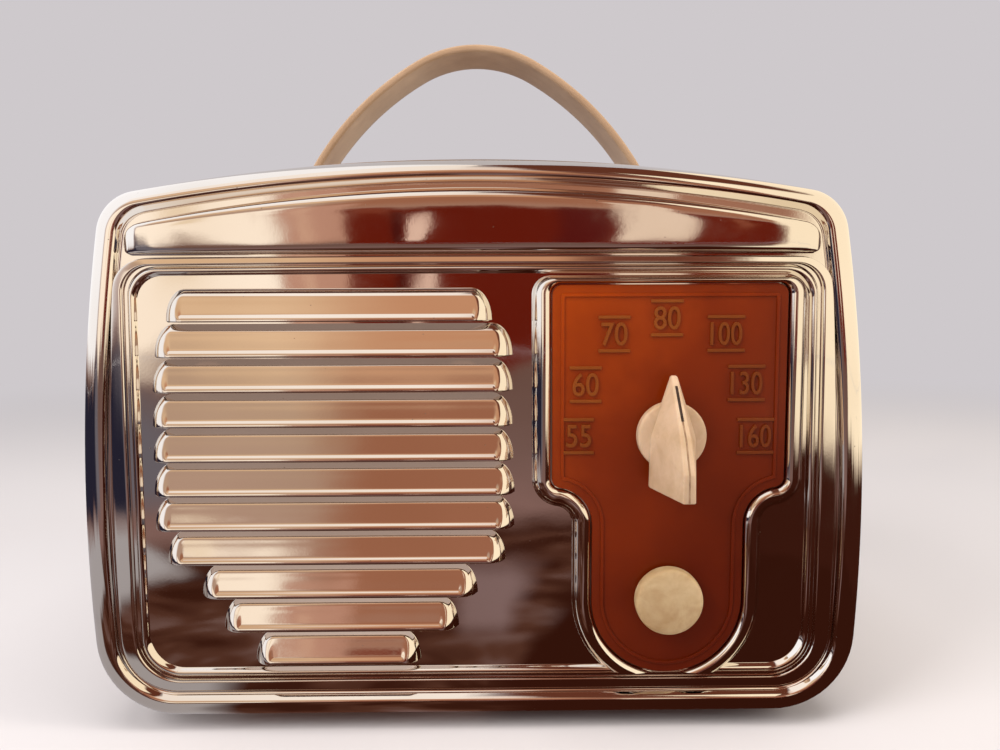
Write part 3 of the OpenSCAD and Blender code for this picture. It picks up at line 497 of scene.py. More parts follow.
# name, light, dark, roughness, grain, worn colour
METALS = {
    "zinc": ("zinc_plate", (196, 196, 192), (164, 166, 166), 0.34),
    "nickel": ("nickel_plate", (206, 200, 188), (172, 164, 150), 0.26),
    "brass": ("dull_brass", (196, 160, 92), (158, 122, 62), 0.32, None, (84, 60, 30)),
    "aluminium": ("plain_aluminium", (208, 208, 210), (182, 183, 186), 0.3, (1, 8, 1),
                  (150, 150, 150)),
    "cadmium": ("plated_steel", (186, 178, 156), (150, 142, 122), 0.36),
    "core": ("stacked_iron", (64, 60, 58), (42, 40, 40), 0.5, (1, 14, 1)),
    "copper": ("enamelled_copper", (196, 112, 64), (158, 80, 42), 0.3, (1, 1, 12), (110, 54, 26)),
}
# name, light, dark, roughness, sizes of the mottling and the grain, the grain's depth, coat
PLAINS = {
    "rubber": ("black_rubber", (38, 36, 35), (24, 22, 22), 0.7, 4, 0.5, 0.03),
    "phenolic": ("brown_phenolic", (122, 76, 40), (88, 52, 26), 0.42, 3, 0.6, 0.02, 0.2),
    "bakelite": ("dark_moulding", (44, 30, 24), (26, 18, 15), 0.3, 5, 0.8, 0.01, 0.3),
    "black_paint": ("black_paint", (40, 39, 38), (26, 25, 25), 0.44, 9, 0.7, 0.03),
    "element": ("carbonised_metal", (74, 74, 78), (48, 48, 50), 0.6, 2, 0.3, 0.02),
    "card": ("waxed_card", (196, 164, 112), (164, 128, 82), 0.5, 6, 0.5, 0.04, 0.1),
    "wax_paper": ("waxed_paper", (214, 190, 134), (188, 156, 100), 0.4, 5, 0.5, 0.03, 0.3),
    "resistor": ("moulded_resistor", (142, 92, 58), (108, 64, 38), 0.5, 3, 0.4, 0.02),
    "cone": ("pressed_paper", (70, 60, 50), (46, 38, 32), 0.85, 3, 0.35, 0.05),
    "surround": ("corrugated_paper", (82, 68, 54), (56, 46, 36), 0.85, 2, 0.3, 0.05),
    "groove": ("groove_shade", (66, 48, 40), (44, 32, 27), 0.7, 2, 0.4, 0.02),
    # a paler strip for the lower part of the pointer's index line
    "pale_groove": ("pale_groove", (172, 138, 106), (128, 98, 74), 0.7, 2, 0.4, 0.02),
}
MAT.update({key: metal_material(*row) for key, row in METALS.items()})
MAT.update({key: plain_material(*row) for key, row in PLAINS.items()})

# ---------------------------------------------------------------- the cabinet's outlines

def crossing(c1, r1, c2, r2):
    """The upper of the two points where two circles meet."""
    c1, c2 = np.array(c1, float), np.array(c2, float)
    d = np.linalg.norm(c2 - c1)
    u = (c2 - c1) / d
    a = (d * d + r1 * r1 - r2 * r2) / (2 * d)
    h = math.sqrt(max(r1 * r1 - a * a, 0))
    p, v = c1 + a * u, np.array([-u[1], u[0]])
    return max(p + h * v, p - h * v, key=lambda q: q[1])


def bowed(w, z0, z1, rb, rt, sr, tr, steps=(14, 30, 14, 46)):
    """A bowed outline: half width w at the waist, flat bottom z0, crown z1, then the radii of its
    bottom and top corners, its sides and its top."""
    side, top = np.array([w - sr, WAIST_Z]), np.array([0, z1 - tr])
    low = np.array([side[0] + math.sqrt((sr - rb) ** 2 - (z0 + rb - WAIST_Z) ** 2), z0 + rb])
    high = crossing(side, sr - rt, top, tr - rt)

    def angle(p, q):
        return math.degrees(math.atan2(p[1] - q[1], p[0] - q[0]))
    a1, a2, a3 = angle(low, side), angle(high, side), angle(high, top)
    half = np.vstack([
        arc(low[0], low[1], rb, -90, a1, steps[0]),
        arc(side[0], side[1], sr, a1, a2, steps[1])[1:],
        arc(high[0], high[1], rt, a2, a3, steps[2])[1:],
        arc(top[0], top[1], tr, a3, 90, steps[3])[1:],
    ])
    left = half[:-1][::-1] * [-1, 1]
    base = np.stack([np.linspace(left[-1, 0], half[0, 0], 26)[1:-1], np.full(24, z0)], 1)
    return np.vstack([half, left, base])


def cabinet_outline(s, b, t):
    """The cabinet's outline, drawn in at its sides, its bottom and its top."""
    return bowed(102.1 - s, 3 + b, 149.2 - t, max(22 - 0.9 * s, 3), max(12 - 0.6 * s, 3),
                 500 - s, 485 - t)


def at_depth(outline, y):
    return np.stack([outline[:, 0], np.full(len(outline), y), outline[:, 1]], 1)


def keyhole(g, top_g, n=14):
    """The dial's outline, grown by g and at its upper edge by top_g."""
    tongue, in_r0, out_r0, half_w, shoulder, top = 19.6, 9.5, 2.5, 29.9, 67.5, 117.1
    centre = np.array([tongue + in_r0, shoulder - math.sqrt(
        (in_r0 + out_r0) ** 2 - (tongue + in_r0 + out_r0 - half_w) ** 2)])
    in_r, out_r = in_r0 - g, max(out_r0 + g, 0.5)
    out_x = half_w + g - out_r
    dx = centre[0] - out_x
    dz = math.sqrt((in_r + out_r) ** 2 - dx * dx)
    turn = math.degrees(math.atan2(dz, dx))
    corner_r = max(out_r0 + top_g, 0.5)
    cx, cz = half_w + g - corner_r, top + top_g - corner_r
    half = np.vstack([
        arc(0, TONGUE_Z, tongue + g, -90, 0, 3 * n),
        arc(centre[0], centre[1], in_r, 180, 180 - turn, n),
        arc(out_x, centre[1] + dz, out_r, -turn, 0, n)[1:],
        arc(cx, cz, corner_r, 0, 90, n),
        np.stack([np.linspace(cx, 0, 9)[1:], np.full(8, top + top_g)], 1),
    ])
    left = half[:-1][::-1] * [-1, 1]
    return np.vstack([half, left[:-1]]) + [DIAL_X, 0]


# The left and right end of each louvre, from the top one down
HOOD_ENDS = [(-78, 4.5), (-81.2, 9.7), (-82.1, 9.7), (-82.4, 9.7), (-82.6, 9.9), (-82.7, 10.2),
             (-82.8, 10.1), (-79.9, 7.8), (-71.2, 0.5), (-65.8, -4.5), (-57.8, -14.5)]


def lip_z(i):
    return FIRST_LIP_Z - LOUVRE_PITCH * i


def hood_middles(i):
    """Where the round ends of a louvre have their middles."""
    return HOOD_ENDS[i][0] + HOOD_R, HOOD_ENDS[i][1] - HOOD_R


def hood_line(i, f):
    """An open line over a hood from its right end to its left one, at a share f of its size."""
    x0, x1 = hood_middles(i)
    z = lip_z(i)
    right, left = arc(0, 0, 1, 0, 90, 14), arc(0, 0, 1, 90, 180, 14)
    steps = np.linspace(0, 1, 24)[1:-1, None]
    size = np.array([HOOD_R * f, HOOD_H * f])
    right = right * size + [x1, z]
    left = left * size + [x0, z]
    return np.vstack([right, right[-1] + (left[0] - right[-1]) * steps, left])


# ---------------------------------------------------------------- the cabinet

def walls(parts, rows, outward):
    """A skin of [side inset, bottom inset, top inset, depth] rows that looks out or in."""
    v, f = skin([at_depth(cabinet_outline(*r[:3]), r[3]) for r in rows])
    a, b, c = (v[[q[k] for q in f]] for k in (0, 1, 2))
    out = (np.cross(b - a, c - a) * (a - np.array([0, 60, 76]))).sum(1)
    parts.add(v, f if ((out > 0).mean() >= 0.5) == outward else flipped(f))


def rim(parts):
    """The side walls, the rounded outer band and the groove inside it, then the lining."""
    front = curve_through([
        (0, 0, 0, 7.5), (0.02, 0.02, 0.02, 5.6), (0.2, 0.2, 0.18, 3.9), (0.62, 0.62, 0.55, 2.3),
        (1.25, 1.25, 1.1, 0.95), (2.1, 2.1, 1.85, -0.2), (3.1, 3.1, 2.7, -1.05),
        (4.2, 4.2, 3.6, -1.55), (5.4, 5.2, 4.4, -1.72), (6.6, 5.8, 4.8, -1.6),
        (7.15, 6.3, 5.3, -1.2), (7.45, 6.8, 5.85, -0.6), (7.65, 7.2, 6.3, -0.1),
        (7.9, 7.5, 6.5, 0.12), (8.2, 7.8, 6.7, 0.14), (8.5, 8.05, 6.85, 0.05),
        (9.1, 8.5, 7.0, 0.0), (9.7, 9.2, 7.5, 0.03)], 80)
    back = [(0, 0, 0, y) for y in (108.6, 100, 80, 60, 40, 20, 10)]
    fold_r = 1.6
    fold = [(fold_r * (1 - math.cos(a)), CABINET_D - fold_r * (1 - math.sin(a)))
            for a in np.radians([90, 72, 54, 36, 18])]
    flange = [(9, 9, 9, CABINET_D - 1), (9, 9, 9, CABINET_D)]
    walls(parts, flange + [(s, s, s, y) for s, y in fold] + back + [tuple(r) for r in front], True)
    walls(parts, [
        (9, 9, 9, 109), (1, 1, 1, 108.9), (1, 1, 1, 60), (1, 1, 1, 6.5), (1.5, 1.5, 1.4, 3.4),
        (2.9, 2.9, 2.6, 0.4), (4.6, 4.7, 4.1, -0.5), (6.6, 6.8, 5.4, 0.6),
        (8.2, 8.4, 7, 1.0)], False)


# How a rib's height goes across its width, from its outer foot to its inner one
FLAT_BAND = [(0, 0.03), (0.03, -0.06), (0.07, -0.34), (0.11, -0.57), (0.18, -0.68), (0.34, -0.77),
             (0.55, -0.88), (0.72, -0.97), (0.81, -1.0), (0.88, -0.88), (0.93, -0.5), (0.97, -0.1),
             (1, 0.03)]
BEAD = [(0, 0.03), (0.06, -0.02), (0.14, -0.26), (0.26, -0.7), (0.4, -0.95), (0.5, -1.0),
        (0.6, -0.94), (0.74, -0.66), (0.87, -0.24), (0.95, -0.02), (1, 0.03)]


def raised_ring(parts, w, low, high, width, height, rb, rt, outer_r, inner_r, shape, rows):
    """A pressed rib round the lower panel, of a width at its sides, its bottom and its top."""
    loops = []
    for f, y in curve_through(shape, rows):
        f = min(max(f, 0), 1)
        s, b, t = (f * k for k in width)
        outline = bowed(w - s, low + b, high - t, max(rb - 0.6 * s, 1), max(rt - 0.4 * s, 1),
                        outer_r + (inner_r - outer_r) * f, 9000)
        loops.append(at_depth(outline, y * height if y < 0 else y))
    parts.front(*skin(loops))


def visor(parts):
    """The smooth bulging band across the top: a grid that follows its own rounded ends."""
    end, low, top, top_r, depth = 87.7, 124.7, 141.4, 415.0, 3.95
    low_corner, top_corner = 2.4, 5.0
    span = curve_through([(0,), (0.12,), (0.35,), (0.8,), (1.5,), (2.6,), (4.5,), (8,), (14,),
                          (24,), (40,), (62,), (end,)], 60)[:, 0]
    stations = np.concatenate([-(end - span), (end - span)[::-1][1:]])
    across = np.array([0, 0.1, 0.25, 0.45, 0.7, 1.0, 1.3, 1.7, 2.2, 2.9, 3.8, 5.1, 6.6, 8.35])
    # how it rises from its lower edge, from its upper one and from its ends
    low_rise = [(0, 0.0), (0.15, 0.04), (0.3, 0.18), (0.5, 0.44), (0.75, 0.66), (1.05, 0.78),
                (1.4, 0.835), (2.0, 0.862), (3.6, 0.885), (8.35, 0.938)]
    top_rise = [(0, 0.0), (0.2, 0.06), (0.45, 0.22), (0.8, 0.5), (1.2, 0.73), (1.7, 0.88),
                (2.3, 0.95), (3.2, 0.982), (5.0, 0.975), (8.35, 0.938)]
    rise_x = [(0, 0.0), (0.2, 0.06), (0.5, 0.24), (1.0, 0.46), (2.0, 0.68), (4.0, 0.86),
              (8.0, 0.96), (14.0, 0.99), (24.0, 1.0)]
    grid = []
    for x in stations:
        d = end - abs(x)
        z0, z1 = low, top - x * x / (2 * top_r)
        if d < low_corner:
            z0 += low_corner - math.sqrt(max(low_corner ** 2 - (low_corner - d) ** 2, 0))
        if d < top_corner:
            z1 -= top_corner - math.sqrt(max(top_corner ** 2 - (top_corner - d) ** 2, 0))
        if z1 < z0 + 0.2:
            z0 = z1 = (z0 + z1) / 2
        half = (z1 - z0) / 2
        fx = np.interp(d, *zip(*rise_x))
        e = across / across[-1]
        zs = np.concatenate([z0 + half * e, (z1 - half * e)[::-1][1:]])
        fz = np.concatenate([np.interp(across, *zip(*low_rise)),
                             np.interp(across, *zip(*top_rise))[::-1][1:]])
        grid.append([(x, 0.03 - depth * fx * f, z) for z, f in zip(zs, fz)])
    grid = np.array(grid)
    # ease the joins between the rises
    for _ in range(3):
        y = grid[:, :, 1]
        y[1:-1, 1:-1] = (y[1:-1, 1:-1] * 4 + y[:-2, 1:-1] + y[2:, 1:-1]
                         + y[1:-1, :-2] + y[1:-1, 2:]) / 8
    parts.front(*sheet_grid(grid))


def dial_bead(parts):
    rows = curve_through([
        (5.4, 2.5, 0.03), (5.0, 2.36, -0.02), (4.72, 2.2, -0.35), (4.4, 2.0, -1.0),
        (3.5, 1.62, -2.0), (2.3, 1.1, -2.6), (1.3, 0.7, -2.5), (0.6, 0.42, -1.95),
        (0.28, 0.27, -1.1), (0.25, 0.25, 0.2)], 40)
    v, f = skin([at_depth(keyhole(g, top_g), y) for g, top_g, y in rows])
    # its lower end runs out in the panel's rib
    parts.add(*clipped(v, turned_to(v, f), (0, 0, 15.9), (0, 0, 1)))


# Depths over a louvre by the share of its size: up its face, and out to its rounded ends
HOOD_SHAPE = curve_through([
    (1.02, 0.03), (0.99, 0.0), (0.972, -0.06), (0.95, -0.22), (0.92, -0.45), (0.88, -0.74),
    (0.84, -1.02), (0.8, -1.27), (0.765, -1.43), (0.72, -1.56), (0.62, -1.8), (0.5, -2.1),
    (0.38, -2.39), (0.28, -2.63), (0.2, -2.83), (0.165, -2.97), (0.12, -3.21), (0.085, -3.36),
    (0.05, -3.44), (0.02, HOOD_Y), (0.0, HOOD_Y)], 64)
END_SHAPE = curve_through([
    (1.02, 0.03), (0.985, 0.0), (0.96, -0.14), (0.92, -0.5), (0.86, -1.04), (0.78, -1.64),
    (0.68, -2.22), (0.56, -2.72), (0.43, -3.08), (0.3, -3.3), (0.18, -3.41), (0.08, -3.46),
    (0.0, HOOD_Y)], 60)
UNDERSIDE = [(0.88, 0.6), (0.84, 0.35), (0.79, 0.15), (0.7, -0.15), (0.58, -0.52), (0.45, -0.9),
             (0.3, -1.32), (0.16, -1.72), (0.06, -2.1), (0.0, -2.35)]


def hood(parts, i):
    """One pressed louvre: its sloping face and domed ends, its lip, and its dull underside."""
    to_face = 0.5 - 0.5 * np.cos(np.linspace(0, np.pi, 15))
    share = np.concatenate([to_face, np.ones(22), to_face[::-1]])
    ends = np.interp(-HOOD_SHAPE[:, 0], -END_SHAPE[:, 0], END_SHAPE[:, 1])
    grid = []
    for (f, y), end in zip(HOOD_SHAPE, ends):
        line = hood_line(i, f)
        grid.append(np.stack([line[:, 0], end + (y - end) * share, line[:, 1]], 1))
    parts.front(*sheet_grid(grid))
    # the lip is the skin's edge, turned under along the line that the face ends in
    x0, x1 = hood_middles(i)
    shape = list(zip(HOOD_SHAPE[::2, 0], ends[::2])) + [(0, HOOD_Y)]
    edge_x, edge_y = np.array([(x1 + HOOD_R * r, y) for r, y in shape]
                              + [(x, HOOD_Y) for x in np.linspace(x1, x0, 30)[1:-1]]
                              + [(x0 - HOOD_R * r, y) for r, y in shape[::-1]]).T
    share = np.clip(-edge_y / 1.2, 0, 1)
    at_left, at_right = (np.clip(k / HOOD_R, 0, 1) for k in (x0 - edge_x, edge_x - x1))
    rows = []
    for back, drop in ((0, 0), (0.02, 0.12), (0.1, 0.24), (0.25, 0.32), (0.45, 0.33), (0.65, 0.25),
                       (0.78, 0.1), (0.85, -0.15)):
        rows.append(np.stack([edge_x + (at_left - at_right) * back,
                              np.minimum(edge_y + back * share, 0.02),
                              lip_z(i) - drop * share], 1))
    parts.front(*sheet_grid(rows))
    return [at_depth(hood_line(i, r), y) for r, y in UNDERSIDE]


def slot_hole(i):
    """The opening behind a louvre."""
    line = hood_line(i, 0.86)
    x0, x1 = line[:, 0].min(), line[:, 0].max()
    return np.vstack([[(x1, lip_z(i) - 0.3)], line, [(x0, lip_z(i) - 0.3)]])


def circle(x, z, r, n=32):
    return arc(x, z, r, 0, 360, n)[:-1]


def build_cabinet():
    parts = Parts()
    rim(parts)
    holes = [slot_hole(i)[::-1] for i in range(LOUVRES)] + [keyhole(-5, -5)[::-1]]
    parts.add(*filled([cabinet_outline(8.9, 8.4, 6.95)] + holes, 0.0, 0.95))
    raised_ring(parts, 93.7, 11.0, 124.6, (5.3, 3.5, 2.1), 1.1, 14.5, 9, 492, 4000, FLAT_BAND, 40)
    raised_ring(parts, 87.9, 15.0, 122.5, (2.6, 2.6, 2.6), 1.2, 10.5, 7.5, 4000, 4000, BEAD, 30)
    visor(parts)
    dial_bead(parts)
    inner = Parts()
    for i in range(LOUVRES):
        v, f = sheet_grid(hood(parts, i))
        inner.add(v, turned_to(v, f, (0, 1, 0)))
    under = make_object("louvre_undersides", inner.verts, inner.faces, "radio", MAT["inside"], 50)
    obj = make_object("chrome_cabinet", parts.verts, parts.faces, "radio", MAT["chrome"], 40)
    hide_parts("cabinet")


# ---------------------------------------------------------------- dial plate and knobs

# Each number on the dial with its middle's x and z
NUMBERS = [("55", 26.4, 78.6), ("60", 28.1, 91.8), ("70", 35.3, 104.6), ("80", 48.6, 108.6),
           ("100", 63.6, 104.6), ("130", 69.0, 92.0), ("160", 71.6, 78.4)]


def number_shape(text, x, z):
    thickness, bevel, stretch = 0.7, 0.06, 0.86 if len(text) == 2 else 0.76
    curve = bpy.data.curves.new("number", "FONT")
    curve.body = text
    curve.size = 8.2
    curve.align_x, curve.align_y = "CENTER", "CENTER"
    curve.extrude = thickness / 2 - bevel
    curve.bevel_depth = bevel
    curve.bevel_resolution = 1
    curve.resolution_u = 6
    v, f = flat_from_curve(curve, -2.15, thickness)
    v = np.array(v, float)
    middle = (v.min(0) + v.max(0)) / 2
    return (v - [middle[0], 0, middle[2]]) * [stretch, 1, 1] + [x, 0, z], f


def rectangle(x0, x1, z0, z1):
    return np.array([(x0, z0), (x1, z0), (x1, z1), (x0, z1)], float)


def build_dial():
    parts = Parts()
    holes = [circle(DIAL_X, TUNING_Z, 4.2)[::-1], circle(DIAL_X, VOLUME_Z, 6.2)[::-1]]
    parts.add(*filled([keyhole(-0.05, -0.05, 8)] + holes, -1.6, 1.6, 0.22, 3))
    # the moulded line that runs round inside the edge
    parts.add(*filled([keyhole(-2.3, -2.3, 8), keyhole(-3.1, -3.1, 8)[::-1]], -2.0, 0.5, 0.12, 2))
    raised = Parts()
    for text, x, z in NUMBERS:
        v, f = number_shape(text, x, z)
        raised.add(v, f)
        # a bar over and under it
        w = (v[:, 0].max() - v[:, 0].min()) / 2 + 0.7
        for mid in (z - 4.25, z + 4.25):
            raised.add(*filled([rectangle(x - w, x + w, mid - 0.4, mid + 0.4)], -2.05, 0.6, 0.1))
    obj = make_object("dial_face", parts.verts, parts.faces, "radio", MAT["amber"], 30)
    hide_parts("dial_plate")
    # the numbers' paler amber is a painted highlight on their raised tops
    digits = make_object("dial_numbers", raised.verts, raised.faces, "radio", MAT["amber_painted_highlight"], 30)


def soft_hull(points, width, segments):
    """A convex solid round points, with its edges rounded."""
    bm = bmesh.new()
    vs = [bm.verts.new(p) for p in points]
    out = bmesh.ops.convex_hull(bm, input=vs)
    inner = [g for g in out["geom_interior"] if isinstance(g, bmesh.types.BMVert)]
    bmesh.ops.delete(bm, geom=inner, context="VERTS")
    bmesh.ops.dissolve_limit(bm, angle_limit=math.radians(3), verts=bm.verts, edges=bm.edges)
    bmesh.ops.bevel(bm, geom=bm.edges[:] + bm.verts[:], offset=width, segments=segments,
                    affect="EDGES", profile=0.5, clamp_overlap=True)
    bmesh.ops.recalc_face_normals(bm, faces=bm.faces)
    return unpacked(bm)


def build_tuning_knob():
    back, skirt, reach = -2.6, -6.2, -24.0
    parts = Parts()
    profile = curve_through([
        (8.25, back + 0.05), (8.6, back - 0.25), (8.68, back - 0.9), (8.68, skirt + 1.2),
        (8.52, skirt + 0.5), (8.0, skirt + 0.14), (6.5, skirt - 0.12), (3.0, skirt - 0.3),
        (0.02, skirt - 0.32)], 40)
    parts.front(*lathe([(3.3, -3.2), (3.3, back)] + [tuple(p) for p in profile], DIAL_X, TUNING_Z))

    def layer(rows, y):
        return [(DIAL_X + x, y, TUNING_Z + z) for x, z in rows]
    base = [(-5.85, -12.8), (5.85, -12.8), (5.6, 0), (0.75, 15.4), (-0.75, 15.4), (-5.6, 0)]
    points = (layer(base, skirt + 1) + layer(base, skirt - 0.6)
              + layer([(-1.5, -12.7), (1.5, -12.7), (1.4, -6), (-1.4, -6)], reach)
              + layer([(-1.4, -2), (1.4, -2), (1.3, 1.5), (-1.3, 1.5)], reach + 4)
              + layer([(-0.8, 8), (0.8, 8), (0.45, 13.4), (-0.45, 13.4)], skirt - 2.6))
    parts.add(*soft_hull(points, 0.42, 3))
    obj = make_object("pointer_knob", parts.verts, parts.faces, "tuning", MAT["cream"], 38)
    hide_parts("tuning_knob")
    # the index line let into the ridge: a dark strip at the tip and a paler one further down
    ridge = [(13.1, skirt - 2.85), (5.4, -16.32), (1.45, -20.0), (-6.0, reach), (-12.5, reach)]
    for name, mat, half, ends in (("pointer_index_line", "groove", 0.32, ridge[:2]),
                                  ("pointer_pale_line", "pale_groove", 0.22, ridge[1:])):
        line = Parts()
        for (z0, y0), (z1, y1) in zip(ends, ends[1:]):
            box = [(DIAL_X + x, y + d, TUNING_Z + z) for x in (-half, half) for d in (-0.05, 0.6)
                   for z, y in ((z0, y0), (z1, y1))]
            line.add(*soft_hull(box, 0.03, 1))
        index = make_object(name, line.verts, line.faces, "tuning", MAT[mat], 38)


def build_volume_knob():
    back, front = -2.6, -6.4
    hub = curve_through([(5.35, 1.95), (5.37, 1.0), (5.37, -1.0), (5.4, back + 0.02)], 8)
    face = curve_through([
        (8.2, back + 0.02), (8.58, back - 0.2), (8.68, back - 0.7), (8.68, front + 1.7),
        (8.55, front + 0.85), (8.1, front + 0.3), (7.2, front - 0.02), (5.2, front - 0.32),
        (2.6, front - 0.52), (0.02, front - 0.58)], 56)
    rows = [(3.3, -1.0), (3.3, 1.95)] + [tuple(p) for p in hub] + [tuple(p) for p in face]
    v, f = lathe(rows, DIAL_X, VOLUME_Z)
    obj = make_object("volume_button", v, turned_to(v, f), "volume", MAT["cream_old"], 38)
    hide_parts("volume_knob")


# ---------------------------------------------------------------- the strap

STRAP_W, STRAP_T = 19.0, 2.2


def strap_path():
    """The strap's middle line from its left tail to its right one, with its outward normals."""
    top, crown_r, leg_r, crown_turn, leg_turn, tail = 190.3, 36.0, 90.0, 30.0, 63.5, 15

    def way(degrees):
        a = math.radians(degrees)
        return np.array([math.sin(a), math.cos(a)])
    crown = np.array([0, top - crown_r])
    leg = crown + (crown_r - leg_r) * way(crown_turn)
    rows = [(crown + (crown_r - STRAP_T / 2) * way(a), way(a))
            for a in np.linspace(0, crown_turn, 16)]
    rows += [(leg + (leg_r - STRAP_T / 2) * way(a), way(a))
             for a in np.linspace(crown_turn, leg_turn, 22)[1:]]
    end, out = rows[-1]
    rows += [(end + s * way(leg_turn + 90), out) for s in np.linspace(0, tail, 9)[1:]]
    mirror = np.array([-1, 1])
    return [(p * mirror, out * mirror) for p, out in rows[:0:-1]] + rows


def build_strap():
    r = 0.75
    w, t = STRAP_W / 2 - r, STRAP_T / 2 - r
    corner = []
    for cx, cy, a0 in ((w, t, 0), (-w, t, 90), (-w, -t, 180), (w, -t, 270)):
        for a in np.radians(np.linspace(a0, a0 + 90, 5)):
            corner.append((cx + r * math.cos(a), cy + r * math.sin(a)))
    section = []
    for i, (a, b) in enumerate(corner):
        section.append((a, b))
        a2, b2 = corner[(i + 1) % len(corner)]
        if math.hypot(a2 - a, b2 - b) > 5:
            for k in range(1, 8):
                section.append((a + (a2 - a) * k / 8, b + (b2 - b) * k / 8))
    path = strap_path()
    total = len(path)
    loops = []
    for j, (p, out) in enumerate(path):
        ease = math.sin(math.pi * j / (total - 1))
        loop = []
        for a, b in section:
            # a little slack: the middle is faintly dished, as a worn strap is
            x, z = p + out * (b - 0.12 * ease * (1 - (2 * a / STRAP_W) ** 2))
            loop.append((x, HANDLE_Y + a, z))
        loops.append(loop)
    v, f = skin(loops)
    n = len(section)
    f = f + [tuple(range(n)), tuple(range(n * total - 1, n * total - n - 1, -1))]
    mesh = bpy.data.meshes.new("strap_handle")
    mesh.from_pydata(metres(v).tolist(), [], f)
    bm = bmesh.new()
    bm.from_mesh(mesh)
    bmesh.ops.recalc_face_normals(bm, faces=bm.faces)
    bm.to_mesh(mesh)
    bm.free()
    obj = from_mesh("strap_handle", mesh, "radio", MAT["strap"], 50)
    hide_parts("handle")


# ---------------------------------------------------------------- the carried-over CAD nodes

CARRIED = {
    "rubber": ["foot_front_left", "foot_front_right", "foot_rear_left", "foot_rear_right",
               "cord_grommet", "gang_grommets"],
    "zinc": ["handle_anchor_left", "handle_anchor_right", "dial_push_nuts"],
    "brass": ["handle_rivets", "lamp_socket", "tuning_shaft", "volume_shaft"],
    "fibre": ["back_cover", "speaker_baffle"],
    "nickel": ["back_screws", "tuning_set_screw", "gang_screws", "volume_nut", "baffle_nuts",
               "speaker_screws", "chassis_screws"],
    "glass": ["dial_lamp", "rectifier_glass", "output_tube_glass", "detector_glass",
              "amplifier_glass"],
    "aluminium": ["rotor_plates", "stator_plates"],
    "cadmium": ["gang_frame", "volume_control_case", "chassis"],
    "phenolic": ["gang_insulators", "tube_sockets", "terminal_strip"],
    "bakelite": ["power_switch", "rectifier_base", "output_tube_base", "detector_base",
                 "amplifier_base"],
    "grille": ["grille_cloth"], "black_paint": ["speaker_basket"],
    "core": ["speaker_magnet", "output_transformer"],
    "cone": ["speaker_cone"], "copper": ["voice_coil", "antenna_coil", "detector_coil"],
    "surround": ["speaker_surround"], "spider": ["speaker_spider"], "element": ["tube_elements"],
    "card": ["filter_capacitor"], "wax_paper": ["paper_capacitors"], "resistor": ["resistors"],
    "wire": ["hookup_wires"],
}


def dress_nodes():
    for key, names in CARRIED.items():
        for name in names:
            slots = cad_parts[name].data.materials
            slots.clear()
            slots.append(MAT[key])


# ---------------------------------------------------------------- camera, floor and light

def build_camera():
    """The photograph's camera, as fitted to it: 203.4 mm in front of the panel."""
    pitch, yaw, roll = (math.radians(a) for a in (5.124, -0.575, 0.236))
    turn = (Matrix.Rotation(yaw, 3, "Z") @ Matrix.Rotation(-pitch, 3, "X")
            @ Matrix.Rotation(roll, 3, "Y"))
    right, ahead, up = (turn.col[i] for i in range(3))
    m = Matrix((right, up, -ahead)).transposed().to_4x4()
    m.translation = Vector((0.00439, (-203.4 + PANEL_Y) * 0.001, 0.11246))
    data = bpy.data.cameras.new("photo_camera")
    data.sensor_width = 36.0
    data.lens = 28.8
    data.clip_start = 0.005
    cam = link(bpy.data.objects.new("photo_camera", data))
    cam.matrix_world = m
    bpy.context.scene.camera = cam


WALL = linear((206, 201, 204))


def stage_piece(name, verts, faces, mat):
    mesh = bpy.data.meshes.new(name)
    mesh.from_pydata(np.array(verts).tolist(), [], faces)
    mesh.materials.append(mat)
    obj = link(bpy.data.objects.new(name, mesh))
    return obj


def build_floor():
    g = Surface("floor")
    m = g.put({"Roughness": 0.9, "Base Color": linear((214, 209, 211))})
    # further off it takes the wall's colour
    away = g.add("VectorMath", {0: g.coords()}, operation="LENGTH").outputs["Value"]
    g.end_in("Material Output",
             g.blend(g.smooth(away, 0.25, 1.1), g.shader.outputs[0], g.glow(WALL)))
    r = 8.0
    stage_piece("floor", [(-r, -r, 0), (r, -r, 0), (r, r, 0), (-r, r, 0)], [(0, 1, 2, 3)], m)


def soft_light(name, centre, target, size, power, colour):
    data = bpy.data.lights.new(name, "AREA")
    data.shape = "RECTANGLE"
    data.size, data.size_y = size
    data.energy = power
    data.color = colour
    obj = link(bpy.data.objects.new(name, data))
    obj.location = centre
    obj.rotation_euler = (Vector(target) - Vector(centre)).to_track_quat("-Z", "Y").to_euler()
    obj.visible_glossy = False


def build_light():
    world = bpy.data.worlds.new("studio")
    world.use_nodes = True
    bpy.context.scene.world = world
    g = Graph(world.node_tree)
    light = g.nodes["Background"]
    light.inputs["Color"].default_value = (1, 0.985, 0.97, 1)
    light.inputs["Strength"].default_value = 0.45
    seen = g.add("Background", {"Color": WALL})
    ray = g.add("LightPath", {}).outputs
    shown = g.maths("MAXIMUM", g.maths("MAXIMUM", ray["Is Camera Ray"], ray["Is Glossy Ray"]),
                    ray["Is Transmission Ray"])
    g.end_in("World Output", g.blend(shown, light.outputs[0], seen.outputs[0]))

    soft_light("key_left", (-0.75, -0.55, 0.75), (0, 0, 0.07), (0.5, 0.7), 8.5, (1.0, 0.98, 0.96))
    soft_light("top", (0.05, -0.25, 1.15), (0, 0, 0.05), (0.9, 0.5), 7.5, (1.0, 0.97, 0.93))
    soft_light("right", (0.85, -0.25, 0.42), (0, 0, 0.07), (0.16, 0.6), 4.0, (1.0, 0.93, 0.84))


